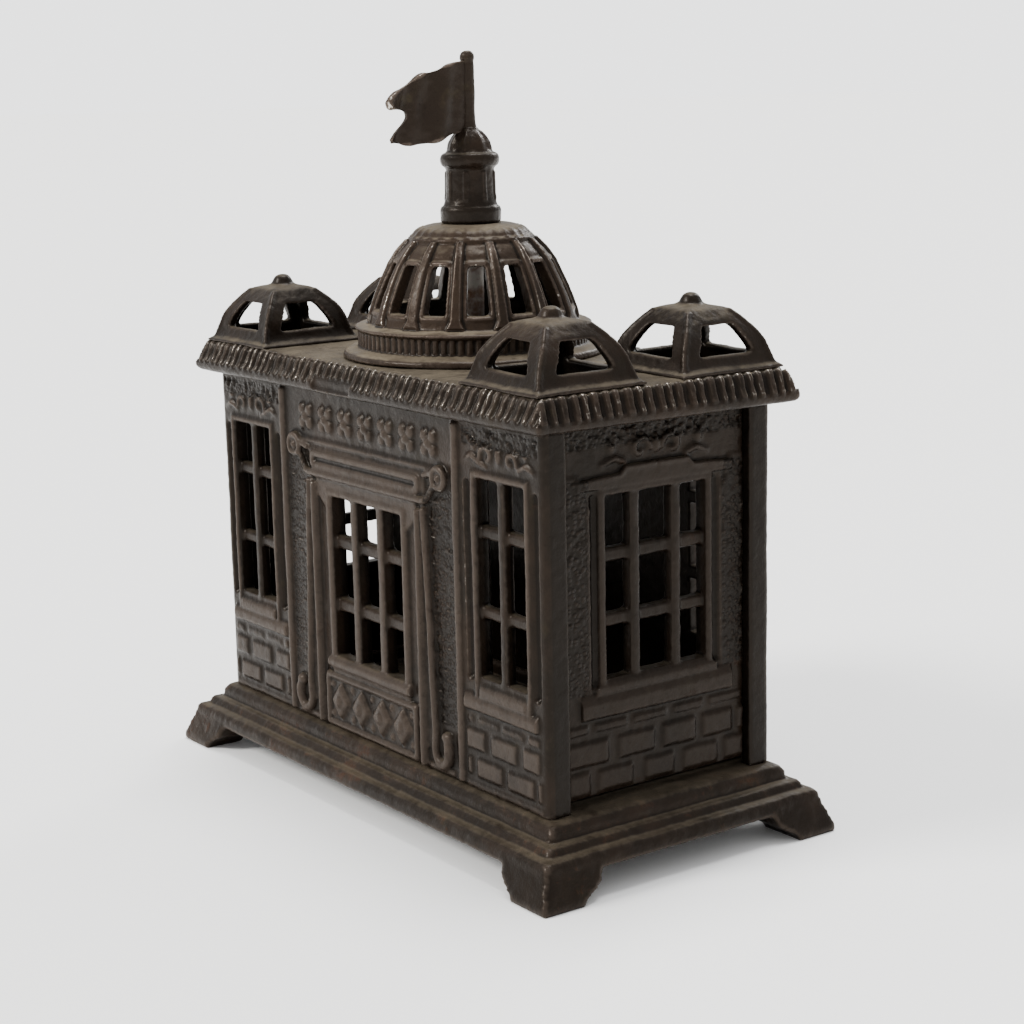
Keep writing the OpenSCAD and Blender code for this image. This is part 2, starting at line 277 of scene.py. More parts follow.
def read_mesh(mesh):
    """Vertex places, vertex normals and edges as arrays."""
    co = np.empty(len(mesh.vertices) * 3)
    mesh.vertices.foreach_get("co", co)
    normals = np.empty(len(mesh.vertices) * 3)
    mesh.vertex_normals.foreach_get("vector", normals)
    edges = np.empty(len(mesh.edges) * 2, np.int64)
    mesh.edges.foreach_get("vertices", edges)
    return co.reshape(-1, 3), normals.reshape(-1, 3), edges.reshape(-1, 2)


def store(mesh, name, values):
    """Keeps one number per vertex, for the materials to read."""
    attribute = mesh.attributes.new(name, "FLOAT", "POINT")
    attribute.data.foreach_set("value", values.astype(np.float32))


# %% The casting step
MOST_FACES = 190_000
BOX_LOW, BOX_HIGH = (np.array(corner) for corner in cad_box)


def evaluated(obj):
    """A new mesh with the object's modifiers applied."""
    graph = bpy.context.evaluated_depsgraph_get()
    return bpy.data.meshes.new_from_object(obj.evaluated_get(graph))


def scratch(name, bm):
    """A loose object made from a pattern's solids."""
    mesh = bpy.data.meshes.new(name)
    bmesh.ops.remove_doubles(bm, verts=bm.verts, dist=1e-5)
    bm.to_mesh(mesh)
    obj = bpy.data.objects.new(name, mesh)
    bpy.context.scene.collection.objects.link(obj)
    return obj


def skinned(obj, voxel):
    """Fuses overlapping solids into one even skin."""
    skin = obj.modifiers.new("skin", "REMESH")
    skin.mode, skin.voxel_size = "VOXEL", voxel


def even(share):
    """The same rubbing all over a casting."""
    return lambda points, normals: np.full(len(points), share)


def outside(share, inward):
    """Rubbing on the outside of a hollow casting, and none where it looks inwards, where the finish paints
    shade instead.
    """
    return lambda points, normals: share * ((points[:, :2] * normals[:, :2]).sum(axis=1) > -inward)


def cast(name, solid, cutter=None, voxel=0.35, smooth=3, lump=0.05, pit=0.03, grow=0.0, stipple=None,
         texture=None, relief=None, after=None, most=MOST_FACES, place=None):
    """Turns a pattern into one finished casting, in metres.

    stipple(points, normals) gives extra relief in millimetres. texture(points, normals) is 1 where
    the pattern was punched all over and 0 elsewhere. relief(points, normals) says from 0 to 1 how
    much a place stands proud and gets rubbed; where it is near 0, on what looks into a casting,
    the finish paints shade instead. after moves the points, and grow makes up for what the
    smoothing takes off.
    """
    work = scratch(name, solid)
    skinned(work, voxel)
    knife = None
    if cutter is not None:
        knife = scratch(name + "_cutter", cutter)
        skinned(knife, voxel * 0.8)
        cut = work.modifiers.new("cut", "BOOLEAN")
        cut.operation, cut.solver, cut.object = "DIFFERENCE", "MANIFOLD", knife
        skinned(work, voxel)
    fillet = work.modifiers.new("fillet", "SMOOTH")
    fillet.factor, fillet.iterations = 0.5, smooth
    mesh = evaluated(work)
    for obj in (work, knife):
        if obj is not None:
            bpy.data.objects.remove(obj)

    co, normals, edges = read_mesh(mesh)
    push = grow + lump * lattice_noise(co, 7.0, 3) + 0.5 * lump * lattice_noise(co, 3.1, 5)
    push += pit * lattice_noise(co, 1.1, 7) + 0.6 * pit * lattice_noise(co, 0.6, 11)
    if stipple is not None:
        push += stipple(co, normals)
    co = co + push[:, None] * normals
    if after is not None:
        co = after(co)
    mesh.vertices.foreach_set("co", co.ravel())
    mesh.update()

    # how sharply the skin bulges (+) or dips (-), fine and broad
    co, normals, edges = read_mesh(mesh)
    mean = co
    for _ in range(2):
        mean = neighbour_mean(mean, edges, len(co))
    fine = np.einsum("ij,ij->i", co - mean, normals) / voxel
    for _ in range(10):
        mean = neighbour_mean(mean, edges, len(co))
    broad = np.einsum("ij,ij->i", co - mean, normals) / voxel
    store(mesh, "edge", np.clip(fine * 2.2, -1, 1))
    store(mesh, "swell", np.clip(broad * 0.8, -1, 1))
    settled = neighbour_mean(normals, edges, len(co))
    store(mesh, "ledge", np.clip(settled[:, 2], 0, 1))
    proud = relief(co, normals) if relief is not None else np.full(len(co), 0.5)
    store(mesh, "proud", np.clip(proud, 0, 1))
    store(mesh, "picked", texture(co, normals) if texture is not None else np.zeros(len(co)))

    obj = bpy.data.objects.new(name, mesh)
    bpy.context.scene.collection.objects.link(obj)
    triangles = 2 * len(mesh.polygons)
    if triangles > most:
        thin = obj.modifiers.new("thin", "DECIMATE")
        thin.ratio = most / triangles
        fewer = evaluated(obj)
        obj.modifiers.clear()
        obj.data = fewer
    if place is not None:
        obj.data.transform(place)
    obj.data.transform(Matrix.Scale(MM, 4))
    settle(obj)
    obj.data.shade_smooth()
    print(f"{name}: {triangles} triangles cast, {len(obj.data.polygons)} faces kept")
    return obj


def settle(obj):
    """Keeps a casting within the whole bank's box, so that the feet stand on the floor."""
    co = np.empty(len(obj.data.vertices) * 3)
    obj.data.vertices.foreach_get("co", co)
    kept = np.clip(co.reshape(-1, 3), BOX_LOW, BOX_HIGH)
    obj.data.vertices.foreach_set("co", kept.ravel())
    obj.data.update()


def smooth_step(value, low, high):
    """0 below low, 1 above high, smooth between."""
    t = np.clip((value - low) / (high - low), 0, 1)
    return t * t * (3 - 2 * t)


def bump_at(value, width):
    """A rounded ridge of that half width round zero."""
    return np.exp(-(value / width) ** 2)


# %% [markdown]
# ## Iron that has been handled for a century
#
# The finish is thin black-brown japan over cast iron. It has gone through on every rubbed
# edge and raised face, where taupe-grey metal shows; dust and old polish lie pale on ledges,
# which are painted paler still as if lit from above; rust shows in patches, most of all on the
# base. Light and shade are painted as well: crevices, the pits of the punching and the insides
# of the castings are darkened as painted shade, and small bright glints are painted on the
# sharpest corners as highlights. Five numbers stored on each vertex drive this: edge and swell
# say how the skin bends, ledge how far it faces up, proud how far it stands out of its wall,
# and picked where the pattern was punched all over. Noise breaks all of them up, so nothing
# follows a ruler. Each casting has its own mix of wear, dust and rust, and its own tone; the
# darker tone of the end walls is painted shade.

# %% Shader maths as plain Python
class Wire:
    """A shader socket that can be added, scaled and compared like a number."""
    tree = None

    def __init__(self, socket):
        self.socket = socket

    @classmethod
    def make(cls, kind, settings=None, inputs=None, out=0):
        """Any node: its settings first, then the values or wires of its sockets."""
        node = cls.tree.nodes.new(kind)
        for name, value in (settings or {}).items():
            setattr(node, name, value)
        for name, value in (inputs or {}).items():
            if isinstance(value, Wire):
                cls.tree.links.new(value.socket, node.inputs[name])
            else:
                node.inputs[name].default_value = value
        return cls(node.outputs[out])

    @classmethod
    def maths(cls, operation, *values, clamp=False):
        return cls.make("ShaderNodeMath", {"operation": operation, "use_clamp": clamp},
                        dict(enumerate(values)))

    def __add__(self, other):
        return Wire.maths("ADD", self, other)

    def __radd__(self, other):
        return Wire.maths("ADD", other, self)

    def __sub__(self, other):
        return Wire.maths("SUBTRACT", self, other)

    def __rsub__(self, other):
        return Wire.maths("SUBTRACT", other, self)

    def __mul__(self, other):
        return Wire.maths("MULTIPLY", self, other)

    def __rmul__(self, other):
        return Wire.maths("MULTIPLY", other, self)

    def clamp(self):
        return Wire.maths("ADD", self, 0.0, clamp=True)

    def between(self, low, high):
        """0 below low, 1 above high, smooth in the middle."""
        return Wire.make("ShaderNodeMapRange", {"interpolation_type": "SMOOTHSTEP", "clamp": True},
                         {"Value": self, "From Min": low, "From Max": high})


def blend_colour(factor, first, second):
    """first where factor is 0, second where it is 1."""
    first = first if isinstance(first, Wire) else (*first, 1)
    second = second if isinstance(second, Wire) else (*second, 1)
    return Wire.make("ShaderNodeMix", {"data_type": "RGBA", "clamp_factor": True},
                     {0: factor, 6: first, 7: second}, out=2)


def mark(name):
    """A number stored on the vertices."""
    return Wire.make("ShaderNodeAttribute", {"attribute_name": name}, out=2)


def place():
    """The place on the bank, in metres."""
    return Wire.make("ShaderNodeTexCoord", out=3)


def cloud(size_mm, detail=3.0, rough=0.55, seed=0.0, warp=0.0):
    """Soft noise from 0 to 1 with features of that size."""
    return Wire.make("ShaderNodeTexNoise", {"noise_dimensions": "4D"},
                     {"Vector": place(), "W": seed, "Scale": 1 / (size_mm * MM), "Detail": detail,
                      "Roughness": rough, "Distortion": warp})


# %% Colours of the finish, as linear light
JAPAN_DEEP = (0.0022, 0.0015, 0.0011)
JAPAN = (0.0075, 0.0052, 0.0038)
BROWN = (0.0170, 0.0108, 0.0072)
TAUPE = (0.058, 0.044, 0.035)
# painted highlight colour of the glints
GLINT_HIGHLIGHT = (0.34, 0.31, 0.27)
# dust, which also serves as painted top light on what faces up
DUST_AND_TOP_LIGHT = (0.100, 0.082, 0.058)
OLIVE = (0.024, 0.020, 0.010)
RUST = (0.042, 0.0145, 0.006)


# %% The finish itself
def iron_finish(name, worn=0.5, dust_and_top_light_share=0.5, rusty=0.2, gloss=0.38, brown=0.5, tone=1.0):
    """Aged japanned cast iron. worn, rusty, brown and the share of dust and painted top light go from 0 to 1;
    tone scales it all.
    """
    material = bpy.data.materials.new(name)
    material.use_nodes = True
    tree = material.node_tree
    Wire.tree = tree
    shader = tree.nodes["Principled BSDF"]

    edge, swell, ledge, proud = mark("edge"), mark("swell"), mark("ledge"), mark("proud")
    broad_cloud = cloud(16, 3, 0.55, 1.0)
    mid_cloud = cloud(5.0, 4, 0.6, 2.0, 0.6)
    fine_cloud = cloud(1.1, 4, 0.65, 3.0)
    grain = cloud(0.35, 2, 0.6, 4.0)
    # the punched texture of the strips and friezes: close-set pebbles
    picked = mark("picked")
    squat = Wire.make("ShaderNodeVectorMath", {"operation": "MULTIPLY"},
                      {0: place(), 1: (1.0, 1.0, 1.15)})
    cells = Wire.make("ShaderNodeTexVoronoi", {"feature": "F1"},
                      {"Vector": squat, "Scale": 1 / (0.95 * MM), "Randomness": 0.8})
    pebble = (1.0 - cells * 1.5).between(0.1, 0.8)

    # japan, browner in broad patches
    colour = blend_colour(broad_cloud.between(0.62 - 0.4 * brown, 0.82 - 0.3 * brown), JAPAN, BROWN)
    colour = blend_colour(mid_cloud.between(0.55, 0.75) * 0.35, colour, OLIVE)
    # rubbed faces, then rubbed edges
    face_rub = proud * (0.5 + 0.8 * mid_cloud) + 0.6 * (fine_cloud - 0.25) + 0.25 * swell
    face_rub = face_rub.between(0.62, 1.25)
    colour = blend_colour(face_rub * (0.85 * worn), colour, TAUPE)
    edge_rub = edge * 0.9 + swell * 0.5 + 0.7 * (fine_cloud - 0.5) + 0.4 * (mid_cloud - 0.5)
    edge_rub = edge_rub.between(0.30, 0.95)
    colour = blend_colour(edge_rub * (0.15 + 0.6 * worn), colour, TAUPE)
    # painted shade: crevices and hollows are darkened to deep japan, as shade would darken them, together
    # with the old dirt that lies there
    crevice_shade_and_dirt = (0.3 * (mid_cloud - 0.5) - 0.9 * swell - 0.5 * edge).between(0.15, 0.75)
    colour = blend_colour(crevice_shade_and_dirt * 0.9, colour, JAPAN_DEEP)
    # painted shade in the pits between the punched pebbles
    colour = blend_colour(picked * (1.0 - pebble) * 0.75, colour, JAPAN_DEEP)
    # painted shade: faces that look into a casting, where proud is near 0, are darkened to deep japan
    colour = blend_colour((0.12 - proud).between(0.0, 0.12) * 0.75, colour, JAPAN_DEEP)
    # old dirt, mottled
    colour = blend_colour((fine_cloud + 0.4 * mid_cloud).between(0.68, 0.95) * 0.45, colour, JAPAN)
    # rust in patches
    rust = mid_cloud * 0.6 + fine_cloud * 0.5 + 0.35 * (broad_cloud - 0.5)
    rust = rust.between(0.66 - 0.14 * rusty, 0.80 - 0.14 * rusty)
    colour = blend_colour(rust * rusty, colour, RUST)
    # dust and old polish on what faces up, thickest in corners, with painted light: what faces up is also
    # made paler as if lit from above
    dust_and_top_light = (ledge.between(0.45, 0.95) * (0.25 + 0.85 * mid_cloud) + 0.3 * (0.15 - swell) * ledge
            + 0.5 * (fine_cloud - 0.5)).between(0.25, 0.95)
    colour = blend_colour(dust_and_top_light * dust_and_top_light_share, colour, DUST_AND_TOP_LIGHT)
    # painted highlights: small bright glints on the sharpest corners; then dark specks in the iron
    painted_glint = (edge + 0.7 * grain + 0.3 * fine_cloud).between(1.27, 1.52)
    colour = blend_colour(painted_glint * (0.3 + 0.7 * worn), colour, GLINT_HIGHLIGHT)
    colour = blend_colour((grain - 0.5).between(0.06, 0.25) * 0.35, colour, JAPAN_DEEP)
    colour = Wire.make("ShaderNodeVectorMath", {"operation": "SCALE"}, {0: colour, "Scale": tone})
    tree.links.new(colour.socket, shader.inputs["Base Color"])

    roughness = (gloss + 0.22 * (fine_cloud - 0.5) + 0.16 * (mid_cloud - 0.5) + 0.12 * face_rub
                 + 0.40 * dust_and_top_light * dust_and_top_light_share + 0.3 * rust * rusty - 0.12 * painted_glint).clamp()
    tree.links.new(roughness.socket, shader.inputs["Roughness"])
    metallic = (0.05 + 0.3 * edge_rub * worn + 0.8 * painted_glint - 0.1 * dust_and_top_light).clamp()
    tree.links.new(metallic.socket, shader.inputs["Metallic"])

    height = 0.8 * grain + 1.4 * fine_cloud + 0.7 * rust * grain + 1.9 * picked * pebble
    bump = Wire.make("ShaderNodeBump", None, {"Strength": 0.6, "Distance": 0.00012, "Height": height})
    tree.links.new(bump.socket, shader.inputs["Normal"])
    shader.inputs["Specular IOR Level"].default_value = 0.09
    shader.inputs["Specular Tint"].default_value = (1.0, 0.84, 0.68, 1)
    shader.inputs["Coat Weight"].default_value = 0.06
    shader.inputs["Coat Roughness"].default_value = 0.22
    print("finish", name, "has", len(tree.nodes), "nodes")
    return material


front_finish = iron_finish("rubbed_front_iron", worn=0.85, dust_and_top_light_share=0.6, rusty=0.15, gloss=0.33,
                           brown=0.5, tone=0.82)
# painted shade: the end walls get a much lower tone than the front, for faces turned away from the key lamp
shaded_end_finish = iron_finish("shaded_brown_end_iron", worn=0.35, dust_and_top_light_share=0.45, rusty=0.3, gloss=0.34,
                         brown=0.85, tone=0.52)
base_finish = iron_finish("base_iron", worn=0.45, dust_and_top_light_share=0.55, rusty=0.45, gloss=0.34, tone=0.95)
roof_finish = iron_finish("roof_iron", worn=0.42, dust_and_top_light_share=0.9, rusty=0.15, gloss=0.36, brown=0.55, tone=0.88)
dome_finish = iron_finish("dome_iron", worn=0.85, dust_and_top_light_share=0.9, rusty=0.1, gloss=0.34, brown=0.8, tone=1.3)
finial_finish = iron_finish("finial_iron", worn=0.4, dust_and_top_light_share=0.35, rusty=0.15, gloss=0.3, brown=0.35, tone=1.1)
flag_finish = iron_finish("flag_iron", worn=0.6, dust_and_top_light_share=0.5, rusty=0.05, gloss=0.36, brown=0.2, tone=2.2)


def finished(obj, material, slot, body, *nodes):
    """Gives a casting its finish and its body, and hides the CAD nodes it stands for."""
    obj.data.materials.clear()
    obj.data.materials.append(material)
    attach(obj, body)
    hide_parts(*nodes)
    return obj


# %% [markdown]
# ## Base
#
# The base is a stepped moulding on four bracket feet, hollow underneath. It is lofted from one
# moulding profile that runs round a rectangle, because the foundry's pattern maker would have
# run the same moulding round all four sides. The hollow and the arches between the feet are cut
# away; the arches end in an ogee, so each foot narrows towards the floor.

# %% Base casting
BASE_GAP_Y = base_high[0] - base_high[1]
FOOT_HALF = base_high[0]
base_steps = [(0.05, 0), (0, 0.3), (0.1, 0.8), (0.5, 1.9), (1.3, 3.9), (1.95, 5.5), (2.15, 6.5),
              (2.3, 6.95), (2.75, 7.35), (3.3, 7.45), (3.75, 7.2), (4.05, 7.1), (4.2, 7.35), (4.15, 7.9),
              (4.3, 8.5), (4.75, 8.9), (5.3, 8.9), (5.75, 8.6), (6.05, 8.6), (6.15, 9.1), (6.15, 9.9),
              (6.35, 10.6), (6.8, 11.2), (7.4, 11.55), (8.2, 11.7), (9.0, FLOOR_TOP - 0.1)]
solid = bmesh.new()
moulding(solid, [(FOOT_HALF - inward, z) for inward, z in base_steps], BASE_GAP_Y)
rib_x, rib_y = HALF_W - 4.7, HALF_D - 2.6
slab(solid, (-rib_x, rib_x), (-rib_y, rib_y), (FLOOR_TOP - 1, base_high[2]))

cutter = bmesh.new()
slab(cutter, (-rib_x + 1.6, rib_x - 1.6), (-rib_y + 1.6, rib_y - 1.6), (FLOOR_TOP - 0.15, 20))
hollow_x, hollow_y = HALF_W - 1, HALF_D - 1
ARCH_TOP = 4.9


def arch_outline(top_half, foot_half):
    """The open arch between two feet: its sides are ogees that leave each foot narrower below."""
    width = foot_half - top_half
    rise = [(foot_half, -1), (foot_half, 0.4), (foot_half - 0.1 * width, 1.1),
            (foot_half - 0.45 * width, 1.9), (foot_half - 0.8 * width, 2.6), (top_half + 0.05 * width, 3.2),
            (top_half, 3.9)]
    right_side = rise + arc(top_half - 1.0, ARCH_TOP - 1.0, 1.0, 0, 90, 4)
    return right_side + [(-x, z) for x, z in reversed(right_side)]


prism(cutter, arch_outline(FOOT_HALF - 13.0, FOOT_HALF - 9.3), (-60, 60))
side_arch = arch_outline(base_high[1] - 12.3, base_high[1] - 8.2)
loft(cutter, [[(x, y, z) for y, z in side_arch] for x in (-80, 80)])
turned(cutter, [(0, -2), (2.4, -2), (2.4, 20), (0, 20)], 48)
# four pockets leave a square boss standing round the screw
for sx in (-1, 1):
    slab(cutter, (sx * 6.5, sx * hollow_x), (-hollow_y, hollow_y), (-2, FLOOR_TOP - WALL_T))
for sy in (-1, 1):
    slab(cutter, (-6.5, 6.5), (sy * 6.5, sy * hollow_y), (-2, FLOOR_TOP - WALL_T))
slab(cutter, (-6.6, 6.6), (-6.6, 6.6), (-2, 6.0))

base = cast("base_casting", solid, cutter, voxel=0.4, smooth=4, lump=0.09, pit=0.05, grow=0.16,
            relief=lambda p, n: 0.30 + 0.25 * (p[:, 2] > 6.5))
finished(base, base_finish, "rusty_iron", "bank_body", "base_plinth")

# %% [markdown]
# ## Walls
#
# Each wall is a panel with its relief added on the face and its windows left open between
# bars. A wall is modelled once, lying in the plane y = 0 and looking towards -Y, and is then
# turned to its side of the bank. The two ends share one pattern, as the real ones would, and
# front and back share their side bays.

# %% Shared wall parts
PANEL_BACK = WALL_T


def lattice_bar(bm, x, z, face, back_y):
    """A lattice bar with its front edges eased."""
    (x0, x1), (z0, z1) = sorted(x), sorted(z)
    ease = 0.35
    upright = (x1 - x0) < (z1 - z0)
    ex, ez = (ease, 0) if upright else (0, ease)
    loft(bm, [[(x0, back_y, z0), (x1, back_y, z0), (x1, back_y, z1), (x0, back_y, z1)],
              [(x0, face + ease, z0), (x1, face + ease, z0), (x1, face + ease, z1), (x0, face + ease, z1)],
              [(x0 + ex, face, z0 + ez), (x1 - ex, face, z0 + ez), (x1 - ex, face, z1 - ez),
               (x0 + ex, face, z1 - ez)]])


def lattice(bm, x, z, uprights, crossbars, thick, upright_face, cross_face):
    """A window's lattice: uprights in front, crossbars set back."""
    for mid in uprights:
        lattice_bar(bm, (mid - thick / 2, mid + thick / 2), z, upright_face, PANEL_BACK - 0.3)
    for mid in crossbars:
        lattice_bar(bm, x, (mid - thick * 0.56, mid + thick * 0.56), cross_face, PANEL_BACK)


def half_round(bm, x, z, face, seat=0.6):
    """An upright half-round bar on the wall."""
    (x0, x1), (z0, z1) = sorted(x), sorted(z)
    mid, half = (x0 + x1) / 2, (x1 - x0) / 2
    profile = [(x0, seat), (x0, -face * 0.35), (mid - half * 0.55, -face * 0.85), (mid, -face),
               (mid + half * 0.55, -face * 0.85), (x1, -face * 0.35), (x1, seat)]
    loft(bm, [[(px, py, h) for px, py in profile] for h in (z0, z1)])


def sill(bm, x, z, proud):
    """A weathered sill: upright below, sloping back on top."""
    (x0, x1), (z0, z1) = sorted(x), sorted(z)
    lip = z0 + 0.62 * (z1 - z0)
    ring = [(0.5, z0), (-proud + 0.25, z0), (-proud, z0 + 0.3), (-proud, lip), (-proud * 0.35, z1), (0.5, z1)]
    loft(bm, [[(end, y, h) for y, h in ring] for end in (x0, x1)])


def course(bm, spans, z, proud):
    """A course of bricks, each a little out of true."""
    for x in spans:
        off = rng.uniform(-0.13, 0.13, 4)
        pillow(bm, (x[0] + off[0], x[1] + off[1]), proud + 0.5 * off[2],
               (z[0] + 0.6 * off[3], z[1] + 0.6 * off[2]), edge=0.35)


def scroll(bm, centre, size, turn, face, thick=0.42, flip=1):
    """A leaf scroll: a bar that curls up and thins out."""
    path, radii = [], []
    for i in range(15):
        t = i / 14
        angle = math.radians(turn + flip * 330 * t)
        reach = size * (1 - 0.72 * t)
        path.append((centre[0] + reach * math.cos(angle), face, centre[1] + reach * math.sin(angle)))
        radii.append(thick * (0.55 + 0.75 * math.sin(math.pi * min(1, 0.25 + 0.75 * t))))
    bent_bar(bm, path, radii, 8)


def rosette(bm, x, z, radius, face, petals=4, turn=45):
    """A small flower: petals round a button."""
    for i in range(petals):
        a = math.radians(turn + 360 / petals * i)
        knob(bm, (x + radius * 0.60 * math.cos(a), face + 0.2, z + radius * 0.60 * math.sin(a)),
             (radius * 0.42, 0.62, radius * 0.42), 10)
    knob(bm, (x, face, z), (radius * 0.3, 0.7, radius * 0.3), 10)


def lozenge(bm, x, z, half_x, half_z, base_y, top_y):
    """An upright diamond with sloping sides."""
    def diamond(share, y):
        return [(x, y, z - half_z * share), (x + half_x * share, y, z),
                (x, y, z + half_z * share), (x - half_x * share, y, z)]
    loft(bm, [diamond(1, base_y), diamond(0.96, (base_y + top_y) / 2), diamond(0.74, top_y)])


# %% The side bay of the long walls
WIN_X, WIN_Z = (33.3, 46.4), (31.6, 64.6)
WIN_MID = sum(WIN_X) / 2
WIN_CROSS = (42.4, 55.7)


def side_bay(solid, s):
    """One barred side window with its bricks, mirrored by s."""
    def x(a, b):
        return (s * a, s * b)

    # panel round the opening
    slab(solid, x(26, WIN_X[0]), (0, PANEL_BACK), (FLOOR_TOP, WALL_TOP - 0.1))
    slab(solid, x(WIN_X[1], HALF_W - 1.2), (0, PANEL_BACK), (FLOOR_TOP, WALL_TOP - 0.1))
    slab(solid, x(30, 50), (0, PANEL_BACK), (FLOOR_TOP, WIN_Z[0]))
    slab(solid, x(30, 50), (0, PANEL_BACK), (WIN_Z[1], WALL_TOP - 0.1))
    lattice(solid, x(WIN_X[0] - 1, WIN_X[1] + 1), (WIN_Z[0] - 1, WIN_Z[1] + 1), [s * WIN_MID], WIN_CROSS,
            1.8, -0.1, 0.6)
    # frame strips and head
    pillow(solid, x(31.8, WIN_X[0]), 0.5, (27.6, 66))
    pillow(solid, x(WIN_X[1], 47.8), 0.5, (27.6, 66))
    pillow(solid, x(31.8, 47.8), 0.5, (WIN_Z[1], 66.0))
    # sill in two steps
    sill(solid, x(29.2, 49.3), (25.8, 28.3), 0.85)
    sill(solid, x(33.6, 46.3), (28.2, 30.4), 0.7)
    # courses of brick over a plinth strip
    course(solid, [x(29.4, 31.2), x(32.2, 38.2), x(39.2, 45.2), x(46.2, 49.6)], (23.2, 24.7), 0.3)
    course(solid, [x(29.2, 34.6), x(36.0, 43.4), x(44.9, 49.6)], (18.9, 22.3), 0.42)
    course(solid, [x(29.2, 30.7), x(31.9, 39.2), x(40.5, 47.8), x(48.9, 50.0)], (14.3, 17.5), 0.42)
    pillow(solid, x(29.0, 50.2), 0.25, (12.2, 13.3), 0.2)
    # half-round pilaster beside the bay
    half_round(solid, x(26.85, 28.6), (12.4, 73), 0.85)
    # leaf scrolls over the window
    scroll(solid, (s * 36.6, 68.6), 1.9, 200 if s > 0 else -20, -0.1, 0.4, flip=-s)
    scroll(solid, (s * 43.2, 68.4), 1.6, -20 if s > 0 else 200, -0.1, 0.38, flip=s)
    bent_bar(solid, [(s * 30.4, 0.1, 67.4), (s * 32.4, -0.15, 68.4), (s * 34.4, -0.2, 67.5),
                     (s * 36.5, -0.1, 66.8)], [0.3, 0.55, 0.5, 0.3], 8)
    bent_bar(solid, [(s * 49.4, 0.1, 67.2), (s * 47.2, -0.15, 68.3), (s * 45, -0.15, 67.3)],
             [0.3, 0.55, 0.35], 8)
    knob(solid, (s * 39.9, 0, 69.0), (0.8, 0.6, 1.5), 10)
    knob(solid, (s * 33.0, 0.05, 69.7), (0.9, 0.5, 0.6), 10)
    knob(solid, (s * 47.0, 0.05, 69.7), (0.9, 0.5, 0.6), 10)


def corner_posts(solid):
    """The long castings turn back at both ends and round the corner."""
    round_r = 1.2
    for s in (-1, 1):
        plan = [(HALF_W - 3.2, PANEL_BACK), (HALF_W - 3.2, 0)]
        plan += [(HALF_W - round_r + round_r * math.sin(t), round_r - round_r * math.cos(t))
                 for t in np.linspace(0, math.pi / 2, 7)]
        plan += [(HALF_W, 4.5), (HALF_W - WALL_T, 4.5), (HALF_W - WALL_T, PANEL_BACK)]
        loft(solid, [[(s * px, py, z) for px, py in plan] for z in (FLOOR_TOP, WALL_TOP - 0.1)])


def long_wall_texture(p, n):
    """Where a long wall is punched: beside the leaning bars and above the windows."""
    x, z = np.abs(p[:, 0]), p[:, 2]
    face = (n[:, 1] < -0.4) & (p[:, 1] < 0.9)
    bar_x = 18.5 + 2.1 * (57.6 - z) / 39.2
    strip = (x > bar_x + 1.0) & (x < 26.4) & (z > 21) & (z < 61.5)
    frieze = (x > 29.5) & (x < 50) & (z > 69.8) & (z < 73)
    return (face & (strip | frieze)).astype(float)


def sunk(p, n, x, z, radius, depth):
    """An upright or level hollow sunk into a wall's face, round at its ends."""
    face = (n[:, 1] < -0.4) & (p[:, 1] < 0.9)
    gap = np.hypot(p[:, 0] - np.clip(p[:, 0], *x), p[:, 2] - np.clip(p[:, 2], *z))
    return -depth * face * smooth_step(radius - gap, 0, 0.75 * radius)


def folded(p):
    """The same points with the left half laid over the right."""
    right_half = p.copy()
    right_half[:, 0] = np.abs(p[:, 0])
    return right_half


def bay_hollows(p, n):
    """The hollows each side of a side window."""
    return sum(sunk(folded(p), n, (mid, mid), (31.4, 63.4), 1.05, 0.8) for mid in (30.5, 49.0))


def long_wall_stipple(p, n):
    """Depth of the punching on a long wall, in millimetres: strokes in the strips, pits above."""
    strokes = np.maximum(0, lattice_noise(p * [0.5, 1, 1.9], 0.95, 23))
    pits = np.maximum(0, lattice_noise(p, 0.75, 21))
    punched = long_wall_texture(p, n) * np.where(p[:, 2] < 66, 0.30 * strokes - 0.1, -0.6 * pits)
    return punched + bay_hollows(p, n)


def front_stipple(p, n):
    """The front's punching, with the slot of its lintel."""
    return long_wall_stipple(p, n) + sunk(p, n, (-15.9, 15.9), (61.35, 61.35), 0.75, 0.5)


def wall_relief(p, n):
    """How much of the rubbing a place on a wall takes: most on what stands proud, none inside, where the
    finish paints shade instead.
    """
    return np.interp(p[:, 1], (-0.5, -0.05, 0.7, 1.3), (1.0, 0.28, 0.2, 0.0))


# %% Front wall with its door
DOOR_X, DOOR_Z = 11.3, (25.8, 55.2)
solid = bmesh.new()
for s in (-1, 1):
    side_bay(solid, s)
corner_posts(solid)
